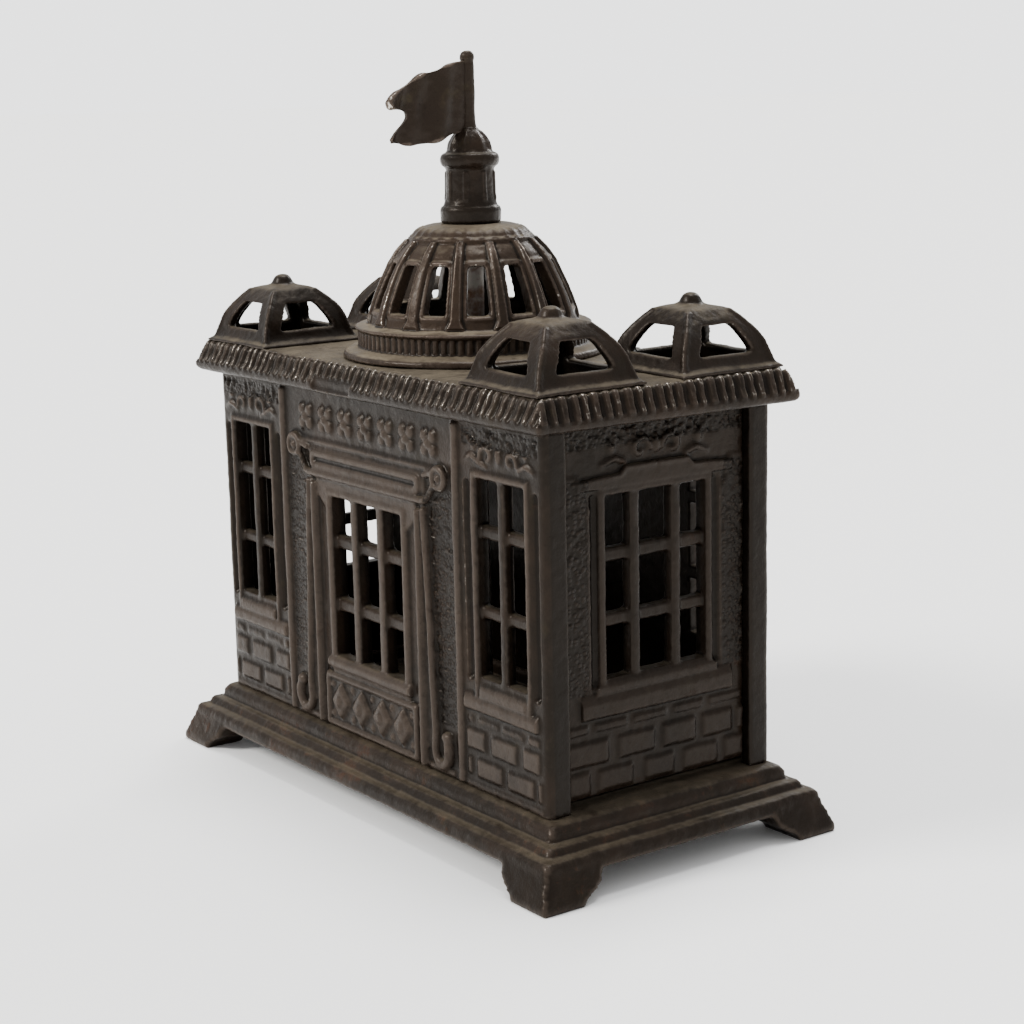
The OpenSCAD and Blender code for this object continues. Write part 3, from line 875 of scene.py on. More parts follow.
# middle panel round the door opening
for s in (-1, 1):
    slab(solid, (s * DOOR_X, s * 27), (0, PANEL_BACK), (FLOOR_TOP, WALL_TOP - 0.1))
slab(solid, (-12, 12), (0, PANEL_BACK), (FLOOR_TOP, DOOR_Z[0]))
slab(solid, (-12, 12), (0, PANEL_BACK), (DOOR_Z[1], WALL_TOP - 0.1))
lattice(solid, (-DOOR_X - 1, DOOR_X + 1), (DOOR_Z[0] - 1, DOOR_Z[1] + 1), (-4.25, 4.25), (35.3, 46.8), 2.0,
        -0.5, 0.3)
for s in (-1, 1):
    # door frame, inner bar and the leaning outer bar on its flat
    pillow(solid, (s * DOOR_X, s * 13.0), 0.85, (24.6, 56.4), 0.4)
    half_round(solid, (s * 16.0, s * 17.7), (12.6, 57.2), 1.35)
    prism(solid, [(s * 17.4, 16), (s * 20.4, 16), (s * 18.6, 58), (s * 17.4, 58)], (0.6, -0.3))
    bent_bar(solid, [(s * 18.5, -0.5, 57.6), (s * 19.6, -0.5, 38), (s * 20.6, -0.5, 18.4)],
             [0.66, 0.66, 0.72], 12, 1.1)
    # the scroll foot: a deep hook under the leaning bar
    hook = [(s * 20.55, -0.5, 19.0)]
    hook += [(s * (22.4 + 2.1 * math.cos(t)), -0.5, 16.5 + 2.7 * math.sin(t))
             for t in np.linspace(math.pi * 1.0, math.pi * 2.25, 12)]
    bent_bar(solid, hook, [0.8] * 4 + [0.9] * 4 + [0.95, 1.0, 1.05, 1.0, 0.8], 12)
    knob(solid, (s * 23.8, -0.5, 18.9), (1.3, 0.9, 1.0), 12)
    pillow(solid, (s * 17.9, s * 25.6), 0.4, (12.3, 13.5), 0.3)
    # chamfered head of the sunk panel beside the door
    prism(solid, [(s * 12.9, 56.4), (s * 16.2, 56.4), (s * 16.2, 55.4), (s * 12.9, 52.6)], (0.6, -0.55))
    # volute with its sweep down to the lintel
    volute = [(s * (23.3 + 1.75 * math.cos(t)), -0.6, 63.2 + 1.75 * math.sin(t))
              for t in np.linspace(-0.5 * math.pi, 1.5 * math.pi, 17)]
    bent_bar(solid, volute, [0.6] * 17, 8)
    knob(solid, (s * 23.3, -0.5, 63.2), (0.75, 0.85, 0.75), 10)
    bent_bar(solid, [(s * 22.0, -0.6, 61.9), (s * 20.9, -0.6, 60.9), (s * 20.2, -0.6, 59.9),
                     (s * 19.2, -0.7, 59.0), (s * 17.6, -0.7, 58.7)], [0.65, 0.6, 0.55, 0.6, 0.6], 8)
    bent_bar(solid, [(s * 21.9, -0.55, 64.3), (s * 20.3, -0.5, 63.5), (s * 18.6, -0.5, 63.1)],
             [0.5, 0.5, 0.5], 8)
# head of the door, ledge, lintel and the ledge over it
pillow(solid, (-13.0, 13.0), 0.85, (DOOR_Z[1], 56.5), 0.35)
pillow(solid, (-16.2, 16.2), 0.6, (56.4, 58.4), 0.3)
pillow(solid, (-18.4, 18.4), 1.35, (58.3, 59.4), 0.35)
prism(solid, rounded((-18.6, 18.6), (59.2, 63.6), 1.2), (0.6, -0.35))
prism(solid, rounded((-17.6, 17.6), (59.8, 62.9), 1.0), (0.6, -0.95))
pillow(solid, (-21.4, 21.4), 0.45, (63.9, 64.9), 0.35)
# sill, and the plaque with its sunk field
sill(solid, (-13.4, 13.4), (23.9, 25.9), 1.35)
pillow(solid, (-12.8, 12.8), 0.7, (22.8, 24.2), 0.3)
prism(solid, rounded((-15.0, 15.0), (12.5, 22.5), 1.3), (0.6, -0.3))
for x_side in ((-15.0, -13.8), (13.8, 15.0)):
    pillow(solid, x_side, 0.95, (12.7, 22.3), 0.35)
for z_side in ((12.5, 13.6), (21.4, 22.5)):
    pillow(solid, (-14.7, 14.7), 0.95, z_side, 0.35)
# ornament: seven rosettes over the door, four lozenges on the plaque
for i in range(7):
    rosette(solid, -19.5 + 6.6 * i, 68.7, 2.75, -0.3)
for i in range(4):
    x_mid = -10.2 + 6.8 * i
    lozenge(solid, x_mid, 17.5, 3.1, 3.7, 0.2, -1.15)
    knob(solid, (x_mid, -1.1, 17.5), (0.9, 0.55, 1.1), 10)
for i in range(5):
    for z in (14.8, 20.2):
        knob(solid, (-13.0 + 6.5 * i, -0.35, z), (0.55, 0.5, 0.55), 8)

wall_to_front = Matrix.Translation((0, -HALF_D, 0))
front = cast("front_casting", solid, voxel=0.3, smooth=3, lump=0.06, pit=0.04, grow=0.03,
             stipple=front_stipple, texture=long_wall_texture, relief=wall_relief, place=wall_to_front)
finished(front, front_finish, "aged_iron", "bank_body", "front_wall")

# %% Back wall with the coin slot
SLOT_X, SLOT_Z = 20.5, (66.1, 70.7)
solid = bmesh.new()
for s in (-1, 1):
    side_bay(solid, s)
corner_posts(solid)
slab(solid, (-27, 27), (0, PANEL_BACK), (FLOOR_TOP, SLOT_Z[0]))
slab(solid, (-27, 27), (0, PANEL_BACK), (SLOT_Z[1], WALL_TOP - 0.1))
for s in (-1, 1):
    slab(solid, (s * SLOT_X, s * 27), (0, PANEL_BACK), (FLOOR_TOP, WALL_TOP - 0.1))
    pillow(solid, (s * SLOT_X, s * 22.4), 0.65, (64.6, 72.2), 0.4)
for z_lip in ((64.4, SLOT_Z[0]), (SLOT_Z[1], 72.4)):
    pillow(solid, (-22.2, 22.2), 0.65, z_lip, 0.4)
for stile_x in ((-23.4, -21.8), (21.8, 23.4)):
    pillow(solid, stile_x, 0.6, (26, 62.6), 0.3)
for rail_z in ((61.2, 62.8), (26, 27.6)):
    pillow(solid, (-23.4, 23.4), 0.6, rail_z, 0.3)
sill(solid, (-24.8, 24.8), (24.2, 26.6), 1.0)
for side_x in ((-17.6, -16.4), (16.4, 17.6)):
    pillow(solid, side_x, 0.5, (33.0, 55.8), 0.25)
for side_z in ((31.6, 32.8), (56.0, 57.2)):
    pillow(solid, (-16.6, 16.6), 0.5, side_z, 0.25)
for i in range(3):
    rosette(solid, -9.6 + 9.6 * i, 44.4, 3.4, -0.2, petals=6, turn=0)
course(solid, [(-25.6 + 7.4 * i, -19.5 + 7.4 * i) for i in range(7)], (18.9, 22.3), 0.42)
course(solid, [(-25.8, -23.2)] + [(-21.9 + 7.4 * i, -15.8 + 7.4 * i) for i in range(6)] + [(22.5, 25.8)],
       (14.3, 17.5), 0.42)


def back_texture(p, n):
    """The back wall is punched inside its big panel; its side bays are as on the front."""
    x = np.abs(p[:, 0])
    inside = (n[:, 1] < -0.4) & (p[:, 1] > -0.3) & (x < 21.4) & (p[:, 2] > 28.2) & (p[:, 2] < 60.8)
    return np.where(x > 27.5, long_wall_texture(p, n), inside)


def back_stipple(p, n):
    """Depth of the back wall's punching, in millimetres."""
    strokes = np.maximum(0, lattice_noise(p, 0.85, 27))
    return np.where(np.abs(p[:, 0]) > 27.5, long_wall_stipple(p, n), 0.3 * back_texture(p, n) * strokes)


wall_to_back = Matrix.Rotation(math.pi, 4, "Z") @ Matrix.Translation((0, -HALF_D, 0))
back_casting = cast("back_casting", solid, voxel=0.3, smooth=3, lump=0.06, pit=0.04, grow=0.03,
                    stipple=back_stipple, texture=back_texture, relief=wall_relief, place=wall_to_back)
finished(back_casting, front_finish, "aged_iron", "bank_body", "back_wall")

# %% End walls
END_HALF = HALF_D - 4.68
END_LAP = HALF_D - WALL_T - 0.1
END_FOOT = end_low[2]
END_WIN_Z = (32.4, 62.4)
END_WIN_X = 10.5
solid = bmesh.new()
for s in (-1, 1):
    slab(solid, (s * END_WIN_X, s * END_HALF), (0, WALL_T), (END_FOOT, WALL_TOP - 0.1))
    slab(solid, (s * END_WIN_X, s * END_LAP), (0.8, WALL_T), (END_FOOT, WALL_TOP - 0.1))
    pillow(solid, (s * END_WIN_X, s * 11.9), 0.5, (30.8, 63.6), 0.3)
    # the stippled strip stands a little proud, with a slanting head
    prism(solid, [(s * 13.5, 30.4), (s * 18.7, 30.4), (s * 18.7, 66.0), (s * 15.6, 66.0), (s * 15.0, 62.6),
                  (s * 13.5, 60.4)], (0.6, -0.22))
slab(solid, (-11, 11), (0, WALL_T), (END_FOOT, END_WIN_Z[0]))
slab(solid, (-11, 11), (0, WALL_T), (END_WIN_Z[1], WALL_TOP - 0.1))
lattice(solid, (-END_WIN_X - 1, END_WIN_X + 1), (END_WIN_Z[0] - 1, END_WIN_Z[1] + 1), (-4.3, 4.3),
        (41.9, 52.6), 2.0, -0.2, 0.5)
pillow(solid, (-11.9, 11.9), 0.5, (END_WIN_Z[1], 63.6), 0.3)
# hood: a low moulding with a raised middle
prism(solid, [(-16.2, 63.7), (16.2, 63.7), (16.2, 64.9), (7.6, 65.3), (6.4, 66.4), (-6.4, 66.4),
              (-7.6, 65.3), (-16.2, 64.9)], (0.6, -0.6))
for s in (-1, 1):
    bent_bar(solid, [(s * 16.0, -0.45, 64.9), (s * 7.6, -0.5, 65.4), (s * 6.5, -0.5, 66.5),
                     (s * 0.2, -0.5, 66.6)], [0.35, 0.35, 0.4, 0.4], 8)
    scroll(solid, (s * 3.2, 69.2), 2.1, 190 if s > 0 else -10, -0.05, 0.5, flip=-s)
    bent_bar(solid, [(s * 6.0, 0.05, 67.3), (s * 8.4, -0.1, 68.2), (s * 11.2, 0.05, 67.2)],
             [0.4, 0.55, 0.3], 8)
    knob(solid, (s * 9.0, 0, 70.0), (0.8, 0.5, 1.1), 10)
knob(solid, (0, -0.05, 69.6), (0.9, 0.7, 1.6), 10)
# sills
sill(solid, (-12.6, 12.6), (30.1, 32.0), 0.7)
sill(solid, (-15.8, 15.8), (26.4, 30.2), 0.95)
course(solid, [(-18.6, -14.2), (-13.2, -6.2), (-5.2, 2.2), (3.2, 10.0), (11.0, 18.6)], (23.9, 25.5), 0.32)
course(solid, [(-18.6, -10.4), (-8.2, -0.6), (1.2, 8.2), (9.7, 16.0), (17.2, 18.7)], (18.8, 22.6), 0.45)
course(solid, [(-18.6, -14.3), (-12.6, -5.2), (-2.9, 3.6), (5.4, 12.8), (14.4, 18.6)], (13.9, 17.6), 0.45)


def end_texture(p, n):
    """An end wall is punched in the strips beside its window and under the cornice."""
    x, z = np.abs(p[:, 0]), p[:, 2]
    face = (n[:, 1] < -0.4) & (p[:, 1] < 0.9)
    strips = (x > 14.0) & (x < 18.6) & (z > 30.4) & (z < 65.4)
    frieze = (x < 18.6) & (z > 70.2) & (z < 73.4)
    return (face & (strips | frieze)).astype(float)


def end_stipple(p, n):
    """Depth of an end wall's punching, in millimetres."""
    pits = np.maximum(0, lattice_noise(p, 0.75, 31))
    punched = end_texture(p, n) * np.where(p[:, 2] < 66, 0.22 * pits - 0.05, -0.5 * pits)
    return punched + sunk(folded(p), n, (12.7, 12.7), (32.0, 62.2), 0.95, 0.5)


right_seat = Matrix.Translation((HALF_W - 1.7, 0, 0)) @ Matrix.Rotation(math.pi / 2, 4, "Z")
left_seat = Matrix.Translation((-HALF_W + 1.7, 0, 0)) @ Matrix.Rotation(-math.pi / 2, 4, "Z")
end_casting = cast("right_end_casting", solid, voxel=0.27, smooth=3, lump=0.06, pit=0.045, grow=0.03,
                   stipple=end_stipple, texture=end_texture, relief=wall_relief, most=180_000)
left_end = end_casting.copy()
left_end.data = end_casting.data.copy()
left_end.name = "left_end_casting"
bpy.context.scene.collection.objects.link(left_end)
for obj, seat in ((end_casting, right_seat), (left_end, left_seat)):
    metres = Matrix.Scale(MM, 4)
    obj.data.transform(metres @ seat @ metres.inverted())
finished(end_casting, shaded_end_finish, "aged_iron", "bank_body", "right_end_wall")
finished(left_end, shaded_end_finish, "aged_iron", "bank_body", "left_end_wall")

# %% [markdown]
# ## Roof
#
# The cornice flares outwards to its foot, so that the casting drew cleanly from the sand, and
# its face is covered in upright reeds. The moulding is lofted plain, and the reeds are then
# raised on its skin by a wave that runs round the roof. They could be bars laid on the
# moulding, but a wave gives the soft, uneven ridges of a worn casting and meets at the mitres
# without seams. On the front there is a short blank stretch, where the reeds stop halfway.

# %% Roof casting
CORNICE_HALF = roof_high[0]
GAP_Y = HALF_W - HALF_D
cornice_steps = [(0.75, 0), (0.25, 0.35), (0, 0.95), (0.05, 1.5), (0.5, 2.1), (1.0, 3.1), (1.4, 4.2),
                 (1.75, 4.95), (2.2, 5.35), (3.2, 5.55)]
solid, cutter = bmesh.new(), bmesh.new()
moulding(solid, [(CORNICE_HALF - inward, WALL_TOP + z) for inward, z in cornice_steps], GAP_Y)
lip_x, lip_y = HALF_W - 4.4, HALF_D - 2.7
slab(solid, (-lip_x, lip_x), (-lip_y, lip_y), (WALL_TOP - 1.55, WALL_TOP + 1))
slab(cutter, (-lip_x + 1.6, lip_x - 1.6), (-lip_y + 1.6, lip_y - 1.6), (WALL_TOP - 4, ROOF_TOP - 2.4))
turned(cutter, [(0, 70), (14, 70), (14, 90), (0, 90)], 64)
prism(cutter, rounded((-11.8, 0.8), (WALL_TOP + 0.5, WALL_TOP + 2.3), 0.5), (-40, -HALF_D - 2.85))

REED_PITCH = 2.12


def reeds(p, n):
    """Upright reeds round the cornice, leaning a little, with one short blank stretch in front."""
    over_x, over_y = np.abs(p[:, 0]) - HALF_W, np.abs(p[:, 1]) - HALF_D
    along = np.where(over_y > over_x, p[:, 0], p[:, 1])
    z = p[:, 2] - WALL_TOP
    count = (along - 0.12 * (z - 3)) / REED_PITCH
    count = count + 0.10 * np.sin(count * 2.3) + 0.07 * np.sin(count * 0.9 + 1)
    ridge = smooth_step(0.5 + 0.5 * np.cos(2 * np.pi * count), 0.12, 0.72)
    blank = (over_y > over_x) & (p[:, 1] < 0) & (np.abs(p[:, 0] + 5.5) < 6.6)
    foot = np.where(blank, 2.6, 1.35)
    reach = smooth_step(z, foot, foot + 0.6) * (1 - smooth_step(z, 5.15, 5.6))
    outside = smooth_step(np.maximum(over_x, over_y), 0.5, 1.3)
    worn_down = 0.8 + 0.35 * lattice_noise(p, 9.0, 41)
    return (0.62 * ridge - 0.16) * reach * outside * worn_down


roof = cast("roof_casting", solid, cutter, voxel=0.32, smooth=2, lump=0.09, pit=0.05, grow=0.06,
            stipple=reeds, relief=even(0.35))
finished(roof, roof_finish, "aged_iron", "roof_assembly", "roof")

# %% [markdown]
# ## Corner cupolas
#
# Four small square domes stand on the corners. Each is a thin shell with a window in every
# face, on a low slab, with a ridge down each hip and a button on its flat top. The shell is a
# loft of squares less a smaller one, and two crossing prisms cut all four windows at once.

# %% Cupola castings
def square_rings(profile):
    """One square ring for each (half width, height)."""
    return [[(h, -h, z), (h, h, z), (-h, h, z), (-h, -h, z)] for h, z in profile]


CUPOLA_HALF, CUPOLA_TOP = 9.9, 10.4
SKIRT_TOP = 3.5


def vault_half(t):
    """Half width of the shell from its skirt, t = 0, to where a sharp crown would be, t = 1."""
    return CUPOLA_HALF - 1.2 - (CUPOLA_HALF - 4.8) * t ** 1.5


vault = [(vault_half(t), SKIRT_TOP + (CUPOLA_TOP - SKIRT_TOP) * t) for t in np.linspace(0, 0.88, 12)]
outer = [(CUPOLA_HALF + 0.9, 0), (CUPOLA_HALF + 0.85, 0.25), (CUPOLA_HALF + 0.1, 0.65),
         (CUPOLA_HALF - 0.45, 1.15), (CUPOLA_HALF - 0.85, 2.1)] + vault + [(4.0, 9.95), (2.2, 10.4)]
inner = [(CUPOLA_HALF - 2.1, -1), (CUPOLA_HALF - 2.6, 1.6)]
inner += [(h - 1.5, z - 0.3) for h, z in vault if z < 8.9]


def cupola_pattern():
    """One cupola's solids and cutters, on the origin."""
    solid, cutter = bmesh.new(), bmesh.new()
    loft(solid, square_rings(outer))
    for sx in (-1, 1):
        for sy in (-1, 1):
            hip = [(sx * (h - 0.22), sy * (h - 0.22), z) for h, z in [(CUPOLA_HALF - 0.3, 0.9)] + vault]
            bent_bar(solid, hip, [0.45] * len(hip), 8)
    window = [(-5.6, 2.9), (-5.2, 2.6), (5.2, 2.6), (5.6, 2.9), (5.4, 3.8), (3.6, 6.9), (2.9, 7.5),
              (-2.9, 7.5), (-3.6, 6.9), (-5.4, 3.8)]
    prism(cutter, window, (-30, 30))
    loft(cutter, [[(x, y, z) for y, z in window] for x in (-30, 30)])
    loft(cutter, square_rings(inner))
    turned(solid, [(0, 9.4), (3.1, 9.4), (3.0, 10.1), (2.4, 10.5), (1.95, 10.75), (1.8, 11.3),
                   (1.35, 11.95), (0.7, 12.3), (0, 12.4)], 32)
    return solid, cutter


for k, name in enumerate(("front_left", "front_right", "back_left", "back_right")):
    low, high = node_box(name + "_cupola")
    centre = (low + high) / 2
    solid, cutter = cupola_pattern()

    def warp(p, k=k):
        """No two cupolas came out of the sand quite alike."""
        return p + 0.12 * lattice_noise(p + 40.0 * k, 6.0, k + 2)[:, None]

    piece = cast(name + "_cupola_casting", solid, cutter, voxel=0.26, smooth=3, lump=0.08, pit=0.04,
                 grow=0.05, most=80_000, after=warp, relief=outside(0.35, 0.8),
                 place=Matrix.Translation((centre[0], centre[1], ROOF_TOP)))
    finished(piece, roof_finish, "aged_iron", "roof_assembly", name + "_cupola")

# %% [markdown]
# ## Main dome
#
# The dome is a turned shell with fourteen windows in it, and its drum and plinth are part of
# the same casting. One wedge, turned round step by step, cuts the windows. The ribs on the
# piers, the bead round each window and the flutes on the drum could be built as solids, but
# they would have to follow a double curve. Raised on the skin by a formula of bearing and
# height they follow it by themselves and keep the soft edges of a casting.

# %% Dome casting
DOME_CURVE = [(18.4, 85.5), (17.9, 87.2), (16.95, 89.9), (15.75, 92.7), (14.3, 95.7), (12.8, 97.9),
              (11.35, 99.4), (10.7, 99.9)]
curve_r, curve_z = np.array([p[0] for p in DOME_CURVE]), np.array([p[1] for p in DOME_CURVE])
WINDOWS = 14
WINDOW_Z = (87.9, 96.1)
WINDOW_HALF = (2.1, 1.65)
FIRST_WINDOW = -31.7
PITCH = 360 / WINDOWS
FLUTES = 88


def polar(r, degrees, z):
    """A point from its radius, its bearing and its height."""
    a = math.radians(degrees)
    return (r * math.cos(a), r * math.sin(a), z)


def dome_radius(z):
    """Radius of the shell at one height or at many."""
    return np.interp(z, curve_z, curve_r)


solid, cutter = bmesh.new(), bmesh.new()
foot = [(15.5, ROOF_TOP), (23.2, ROOF_TOP), (23.2, 80.3), (22.95, 80.85), (22.2, 81.15), (21.2, 81.25),
        (20.5, 81.55), (20.2, 82.0), (20.2, 84.1), (20.4, 84.45), (20.95, 84.7), (21.0, 85.05),
        (20.4, 85.3), (19.2, 85.4)]
crown = [(11.1, 99.95), (11.15, 100.25), (10.8, 100.5), (10.3, 100.6), (10.1, 101.1), (9.5, 101.65),
         (8.7, 102.05), (7.6, 102.4), (6.6, 102.55), (2.6, 102.55), (2.6, 100.9), (6.5, 100.4), (9.2, 98.8)]
inside = [(r - 2.15, z - 0.2) for r, z in reversed(DOME_CURVE) if z < 98.5] + [(16.2, 82)]
turned(solid, foot + DOME_CURVE + crown + inside, 168)


def window_wedge(bm, middle):
    """A wedge that cuts one window, with round corners."""
    outline = []
    for cx, cz, start in ((1, 1, 0), (-1, 1, 90), (-1, -1, 180), (1, -1, 270)):
        half = WINDOW_HALF[1] if cz > 0 else WINDOW_HALF[0]
        z_edge = WINDOW_Z[1] if cz > 0 else WINDOW_Z[0]
        outline += arc(cx * (half - 0.6), z_edge - cz * 0.6, 0.6, start, start + 90, 3)
    rings = []
    for depth in (3.0, -4.5):
        ring = []
        for across, z in outline:
            r = dome_radius(z)
            ring.append(polar(r + depth, middle + math.degrees(across / r), z))
        rings.append(ring)
    loft(bm, rings)


for i in range(WINDOWS):
    window_wedge(cutter, FIRST_WINDOW + PITCH * i)


def dome_relief(p, n):
    """Ribs up the piers, a bead round each window, flutes on the drum and teeth round the crown."""
    r = np.hypot(p[:, 0], p[:, 1])
    bearing = np.degrees(np.arctan2(p[:, 1], p[:, 0]))
    z = p[:, 2]
    outward = smooth_step((n[:, 0] * p[:, 0] + n[:, 1] * p[:, 1]) / np.maximum(r, 1), 0.1, 0.35)
    turn = (bearing - FIRST_WINDOW) / PITCH
    from_window = np.radians((turn - np.round(turn)) * PITCH) * r
    from_pier = np.abs(np.radians((turn - 0.5 - np.round(turn - 0.5)) * PITCH) * r)

    shell = outward * (r > dome_radius(z) - 1.2) * (z > 85.2) * (z < 100.1)
    rib_half = 0.95 - 0.028 * (z - 86) + 0.45 * np.clip(87.0 - z, 0, 1.6)
    rib = smooth_step(rib_half + 0.28 - from_pier, 0, 0.5)
    rib *= smooth_step(z, 85.3, 85.9)
    groove = bump_at(from_pier - rib_half - 0.42, 0.3)
    groove *= smooth_step(z, 86, 88) * (1 - smooth_step(z, 97.5, 99.5))
    half = np.interp(z, WINDOW_Z, WINDOW_HALF)
    dx = np.abs(from_window) - half
    dz = np.abs(z - sum(WINDOW_Z) / 2) - (WINDOW_Z[1] - WINDOW_Z[0]) / 2
    gap = np.hypot(np.maximum(dx, 0), np.maximum(dz, 0)) + np.minimum(np.maximum(dx, dz), 0)
    bead = bump_at(gap - 0.45, 0.36)

    drum = outward * (z > 81.6) * (z < 84.5) * (r > 19)
    wander = 40 * np.sin(np.radians(bearing * 5))
    flute = smooth_step(0.5 + 0.5 * np.cos(np.radians(bearing * FLUTES + wander)), 0.1, 0.8)
    flute = flute * smooth_step(z, 81.6, 82.1) * (1 - smooth_step(z, 84.0, 84.5))
    teeth = (z > 100.5) * (z < 102.0) * outward * (0.5 + 0.5 * np.cos(np.radians(bearing * 28)))
    return (shell * (0.62 * rib - 0.16 * groove + 0.24 * bead) + drum * (0.30 * flute - 0.02) + 0.14 * teeth)


dome = cast("dome_casting", solid, cutter, voxel=0.25, smooth=2, lump=0.08, pit=0.035, grow=0.03,
            stipple=dome_relief, relief=outside(0.4, 2.0))
finished(dome, dome_finish, "aged_iron", "roof_assembly", "main_dome")

# %% [markdown]
# ## Lantern and flag
#
# The lantern is turned: two rings with a panelled drum between them and a fluted cap. The
# flag is a sheet of iron with its staff, cast in one. Its cloth is cut from an outline and then
# bent by a wave that grows towards the tails, with a few rolled folds.

# %% Lantern casting
solid, cutter = bmesh.new(), bmesh.new()
turned(solid, [(0, 102.65), (5.0, 102.65), (5.3, 103.0), (5.35, 104.9), (5.1, 105.45), (4.7, 105.6),
               (4.55, 106.2), (4.35, 106.8), (4.25, 108), (4.2, 111.9), (4.45, 112.3), (4.95, 112.6),
               (5.2, 113.2), (5.2, 113.9), (4.95, 114.5), (4.5, 114.75), (4.05, 114.85), (3.95, 115.4),
               (3.65, 116.5), (3.1, 117.5), (2.4, 118.3), (1.8, 118.8), (1.5, 119.2), (0, 119.2)], 96)
turned(cutter, [(0, 100), (2.05, 100), (2.05, 112), (0, 112)], 48)


def lantern_relief(p, n):
    """Eight flat panels round the drum and eight hollow flutes on the cap."""
    r = np.hypot(p[:, 0], p[:, 1])
    bearing = np.arctan2(p[:, 1], p[:, 0])
    z = p[:, 2]
    on = r > 3.4
    strips = smooth_step(np.cos(8 * bearing), 0.35, 0.95)
    drum = on * smooth_step(z, 106.2, 106.9) * (1 - smooth_step(z, 111.3, 111.9))
    cap = (r > 1.4) * smooth_step(z, 115.0, 115.6) * (1 - smooth_step(z, 118.2, 118.9))
    return 0.26 * drum * strips - 0.3 * cap * np.abs(np.sin(4 * bearing)) ** 1.5 + 0.12 * cap


lantern = cast("lantern_casting", solid, cutter, voxel=0.16, smooth=2, lump=0.09, pit=0.04,
               stipple=lantern_relief, most=100_000, relief=even(0.3))
finished(lantern, finial_finish, "aged_iron", "finial", "lantern")

# %% Flag casting
STAFF_R = 1.2
FLAG_LEN = 17.2
flag_outline = [(0, 130.5), (-2.6, 130.3), (-4.9, 129.6), (-8.7, 128.4), (-11.4, 127.1), (-15.3, 125.2),
                (-16.6, 124.4), (-FLAG_LEN, 123.6), (-16.7, 122.8), (-14.6, 122.3), (-13.0, 121.9),
                (-12.4, 121.2), (-13.2, 120.4), (-15.3, 118.7), (-16.2, 117.4), (-15.9, 116.6),
                (-13.5, 116.5), (-9.6, 116.4), (-6.5, 117.1), (-3.8, 117.9), (-2.2, 118.3), (0, 118.6)]
solid = bmesh.new()
loft(solid, [[(x, y, z) for y, z in flag_outline] for x in (-0.5, 0.5)])


def folds(points, normals):
    """Soft rolls and creases pressed into the cloth."""
    reach = np.clip(-points[:, 1] / FLAG_LEN, 0, 1)
    rolls = np.sin(reach * 21.0 + (points[:, 2] - 120) * 0.28)
    creases = lattice_noise(points * [1, 1.0, 0.45], 1.9, 51)
    return (0.2 * rolls + 0.26 * creases) * smooth_step(reach, 0.05, 0.25)


def hang(points):
    """Bends the cloth sideways, more and more towards its tails."""
    reach = np.clip(-points[:, 1] / FLAG_LEN, 0, 1)
    moved = points.copy()
    moved[:, 0] += 0.85 * np.sin(reach * 7.2 + (points[:, 2] - 123) * 0.10) * np.clip(reach * 2.2, 0, 1)
    return moved


cloth = cast("flag_cloth", solid, voxel=0.19, smooth=3, lump=0.05, pit=0.04, stipple=folds, after=hang,
             most=60_000, relief=even(0.3))
solid = bmesh.new()
turned(solid, [(0, 118.2), (1.5, 118.2), (1.4, 119.2), (STAFF_R + 0.05, 120.0), (STAFF_R, 122),
               (STAFF_R, 129.6), (1.15, 130.3), (1.3, 130.8), (1.25, 131.4), (0.95, 131.9), (0.5, 132.15),
               (0, 132.2)], 40)
staff = cast("flag_staff", solid, voxel=0.15, smooth=2, lump=0.05, pit=0.03, most=30_000,
             relief=even(0.35))
finished(cloth, flag_finish, "aged_iron", "finial", "flag")
finished(staff, flag_finish, "aged_iron", "finial", "flag")

# %% [markdown]
# ## Tie screw
#
# One long screw pulls the whole bank together from under the base up into the lantern. It
# only shows through the windows and from below. It is turned, its slot is a plain cut, and
# the thread is a row of shallow grooves near its tip.

# %% Tie screw
solid, cutter = bmesh.new(), bmesh.new()
SHANK = 1.97
profile = [(0, screw_low[2]), (3.6, screw_low[2] + 0.05), (4.2, screw_low[2] + 0.6),
           (4.35, screw_low[2] + 1.2), (4.35, 5.85), (SHANK, 5.85)]
thread_start = 96.0
z = thread_start
while z < screw_high[2] - 0.8:
    profile += [(SHANK, z), (SHANK - 0.32, z + 0.4)]
    z += 0.8
profile += [(SHANK - 0.5, screw_high[2] - 0.1), (0, screw_high[2])]
turned(solid, profile, 40)
slab(cutter, (-0.6, 0.6), (-6, 6), (0, screw_low[2] + 1.3))
screw = cast("tie_screw_piece", solid, cutter, voxel=0.2, smooth=1, lump=0.01, pit=0.01, most=60_000,
             relief=even(0.5))


def screw_steel():
    """Dull steel that has browned, brighter where the driver slipped."""
    material = bpy.data.materials.new("browned_steel")
    material.use_nodes = True
    tree = material.node_tree
    Wire.tree = tree
    shader = tree.nodes["Principled BSDF"]
    patches, grain = cloud(3.0, 4, 0.6, 8.0), cloud(0.4, 3, 0.6, 9.0)
    colour = blend_colour(patches.between(0.4, 0.65), (0.20, 0.18, 0.16), (0.09, 0.05, 0.03))
    colour = blend_colour(mark("edge").between(0.3, 0.8) * grain, colour, (0.45, 0.43, 0.40))
    tree.links.new(colour.socket, shader.inputs["Base Color"])
    tree.links.new((0.38 + 0.35 * patches).clamp().socket, shader.inputs["Roughness"])
    shader.inputs["Metallic"].default_value = 0.85
    bump = Wire.make("ShaderNodeBump", None, {"Strength": 0.4, "Distance": 0.00005, "Height": grain})
    tree.links.new(bump.socket, shader.inputs["Normal"])
    return material


finished(screw, screw_steel(), "steel", "screw", "tie_screw")

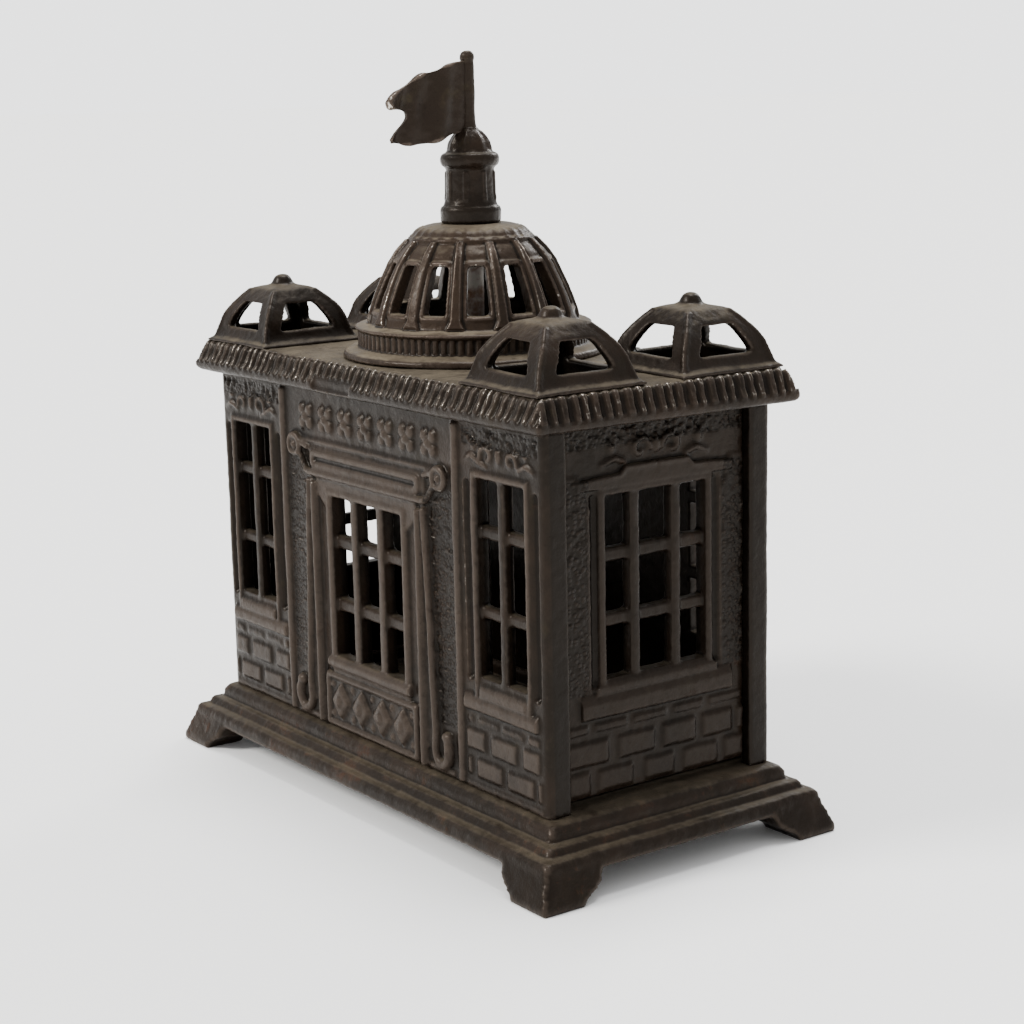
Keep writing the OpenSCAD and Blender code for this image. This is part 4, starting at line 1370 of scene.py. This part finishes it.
# %% [markdown]
# ## Floor and light
#
# A pale matt floor under a pale sky makes a plain studio. A soft lamp high on the left lights
# the front, and the end wall is left to the sky, which keeps it darker and shows the depth of
# its relief. The lamps are far off, so the floor is equally bright all over, and the sky is
# made as bright to the eye as the floor, so that no line shows where they meet.

# %% Floor
floor_mesh = bpy.data.meshes.new("floor")
bm = bmesh.new()
bmesh.ops.create_grid(bm, x_segments=8, y_segments=8, size=12.0)
bm.to_mesh(floor_mesh)
floor = bpy.data.objects.new("floor", floor_mesh)
bpy.context.scene.collection.objects.link(floor)
floor_material = bpy.data.materials.new("pale_floor")
floor_material.use_nodes = True
floor_shader = floor_material.node_tree.nodes["Principled BSDF"]
floor_shader.inputs["Base Color"].default_value = (0.92, 0.92, 0.915, 1)
floor_shader.inputs["Roughness"].default_value = 0.8
floor_mesh.materials.append(floor_material)


# %% Lights
def far_light(name, towards, spread_deg, strength, colour=(1, 1, 1)):
    """A soft lamp so far off that it lights the whole table evenly."""
    data = bpy.data.lights.new(name, "SUN")
    data.angle, data.energy, data.color = math.radians(spread_deg), strength, colour
    lamp = bpy.data.objects.new(name, data)
    lamp.location = towards
    lamp.rotation_euler = Vector(towards).to_track_quat("Z", "Y").to_euler()
    bpy.context.scene.collection.objects.link(lamp)
    print("lamp", name, "strength", strength)
    return lamp


far_light("key", (-0.30, -0.80, 0.64), 19, 3.7, (1.0, 0.985, 0.95))
far_light("top", (-0.1, 0.15, 0.94), 30, 3.4)
far_light("rim", (-0.35, 0.85, 0.49), 16, 1.0)

SKY_LIGHT = 1.1       # what the bank is lit by
SKY_EXTRA = 1.67      # what the camera sees on top of that, to match the lit floor
world = bpy.data.worlds.new("studio")
world.use_nodes = True
background = world.node_tree.nodes["Background"]
background.inputs["Color"].default_value = (0.95, 0.955, 0.96, 1)
Wire.tree = world.node_tree
seen_by_camera = Wire.make("ShaderNodeLightPath", None, {}, "Is Camera Ray")
sky_strength = SKY_LIGHT + SKY_EXTRA * seen_by_camera
world.node_tree.links.new(sky_strength.socket, background.inputs["Strength"])
bpy.context.scene.world = world
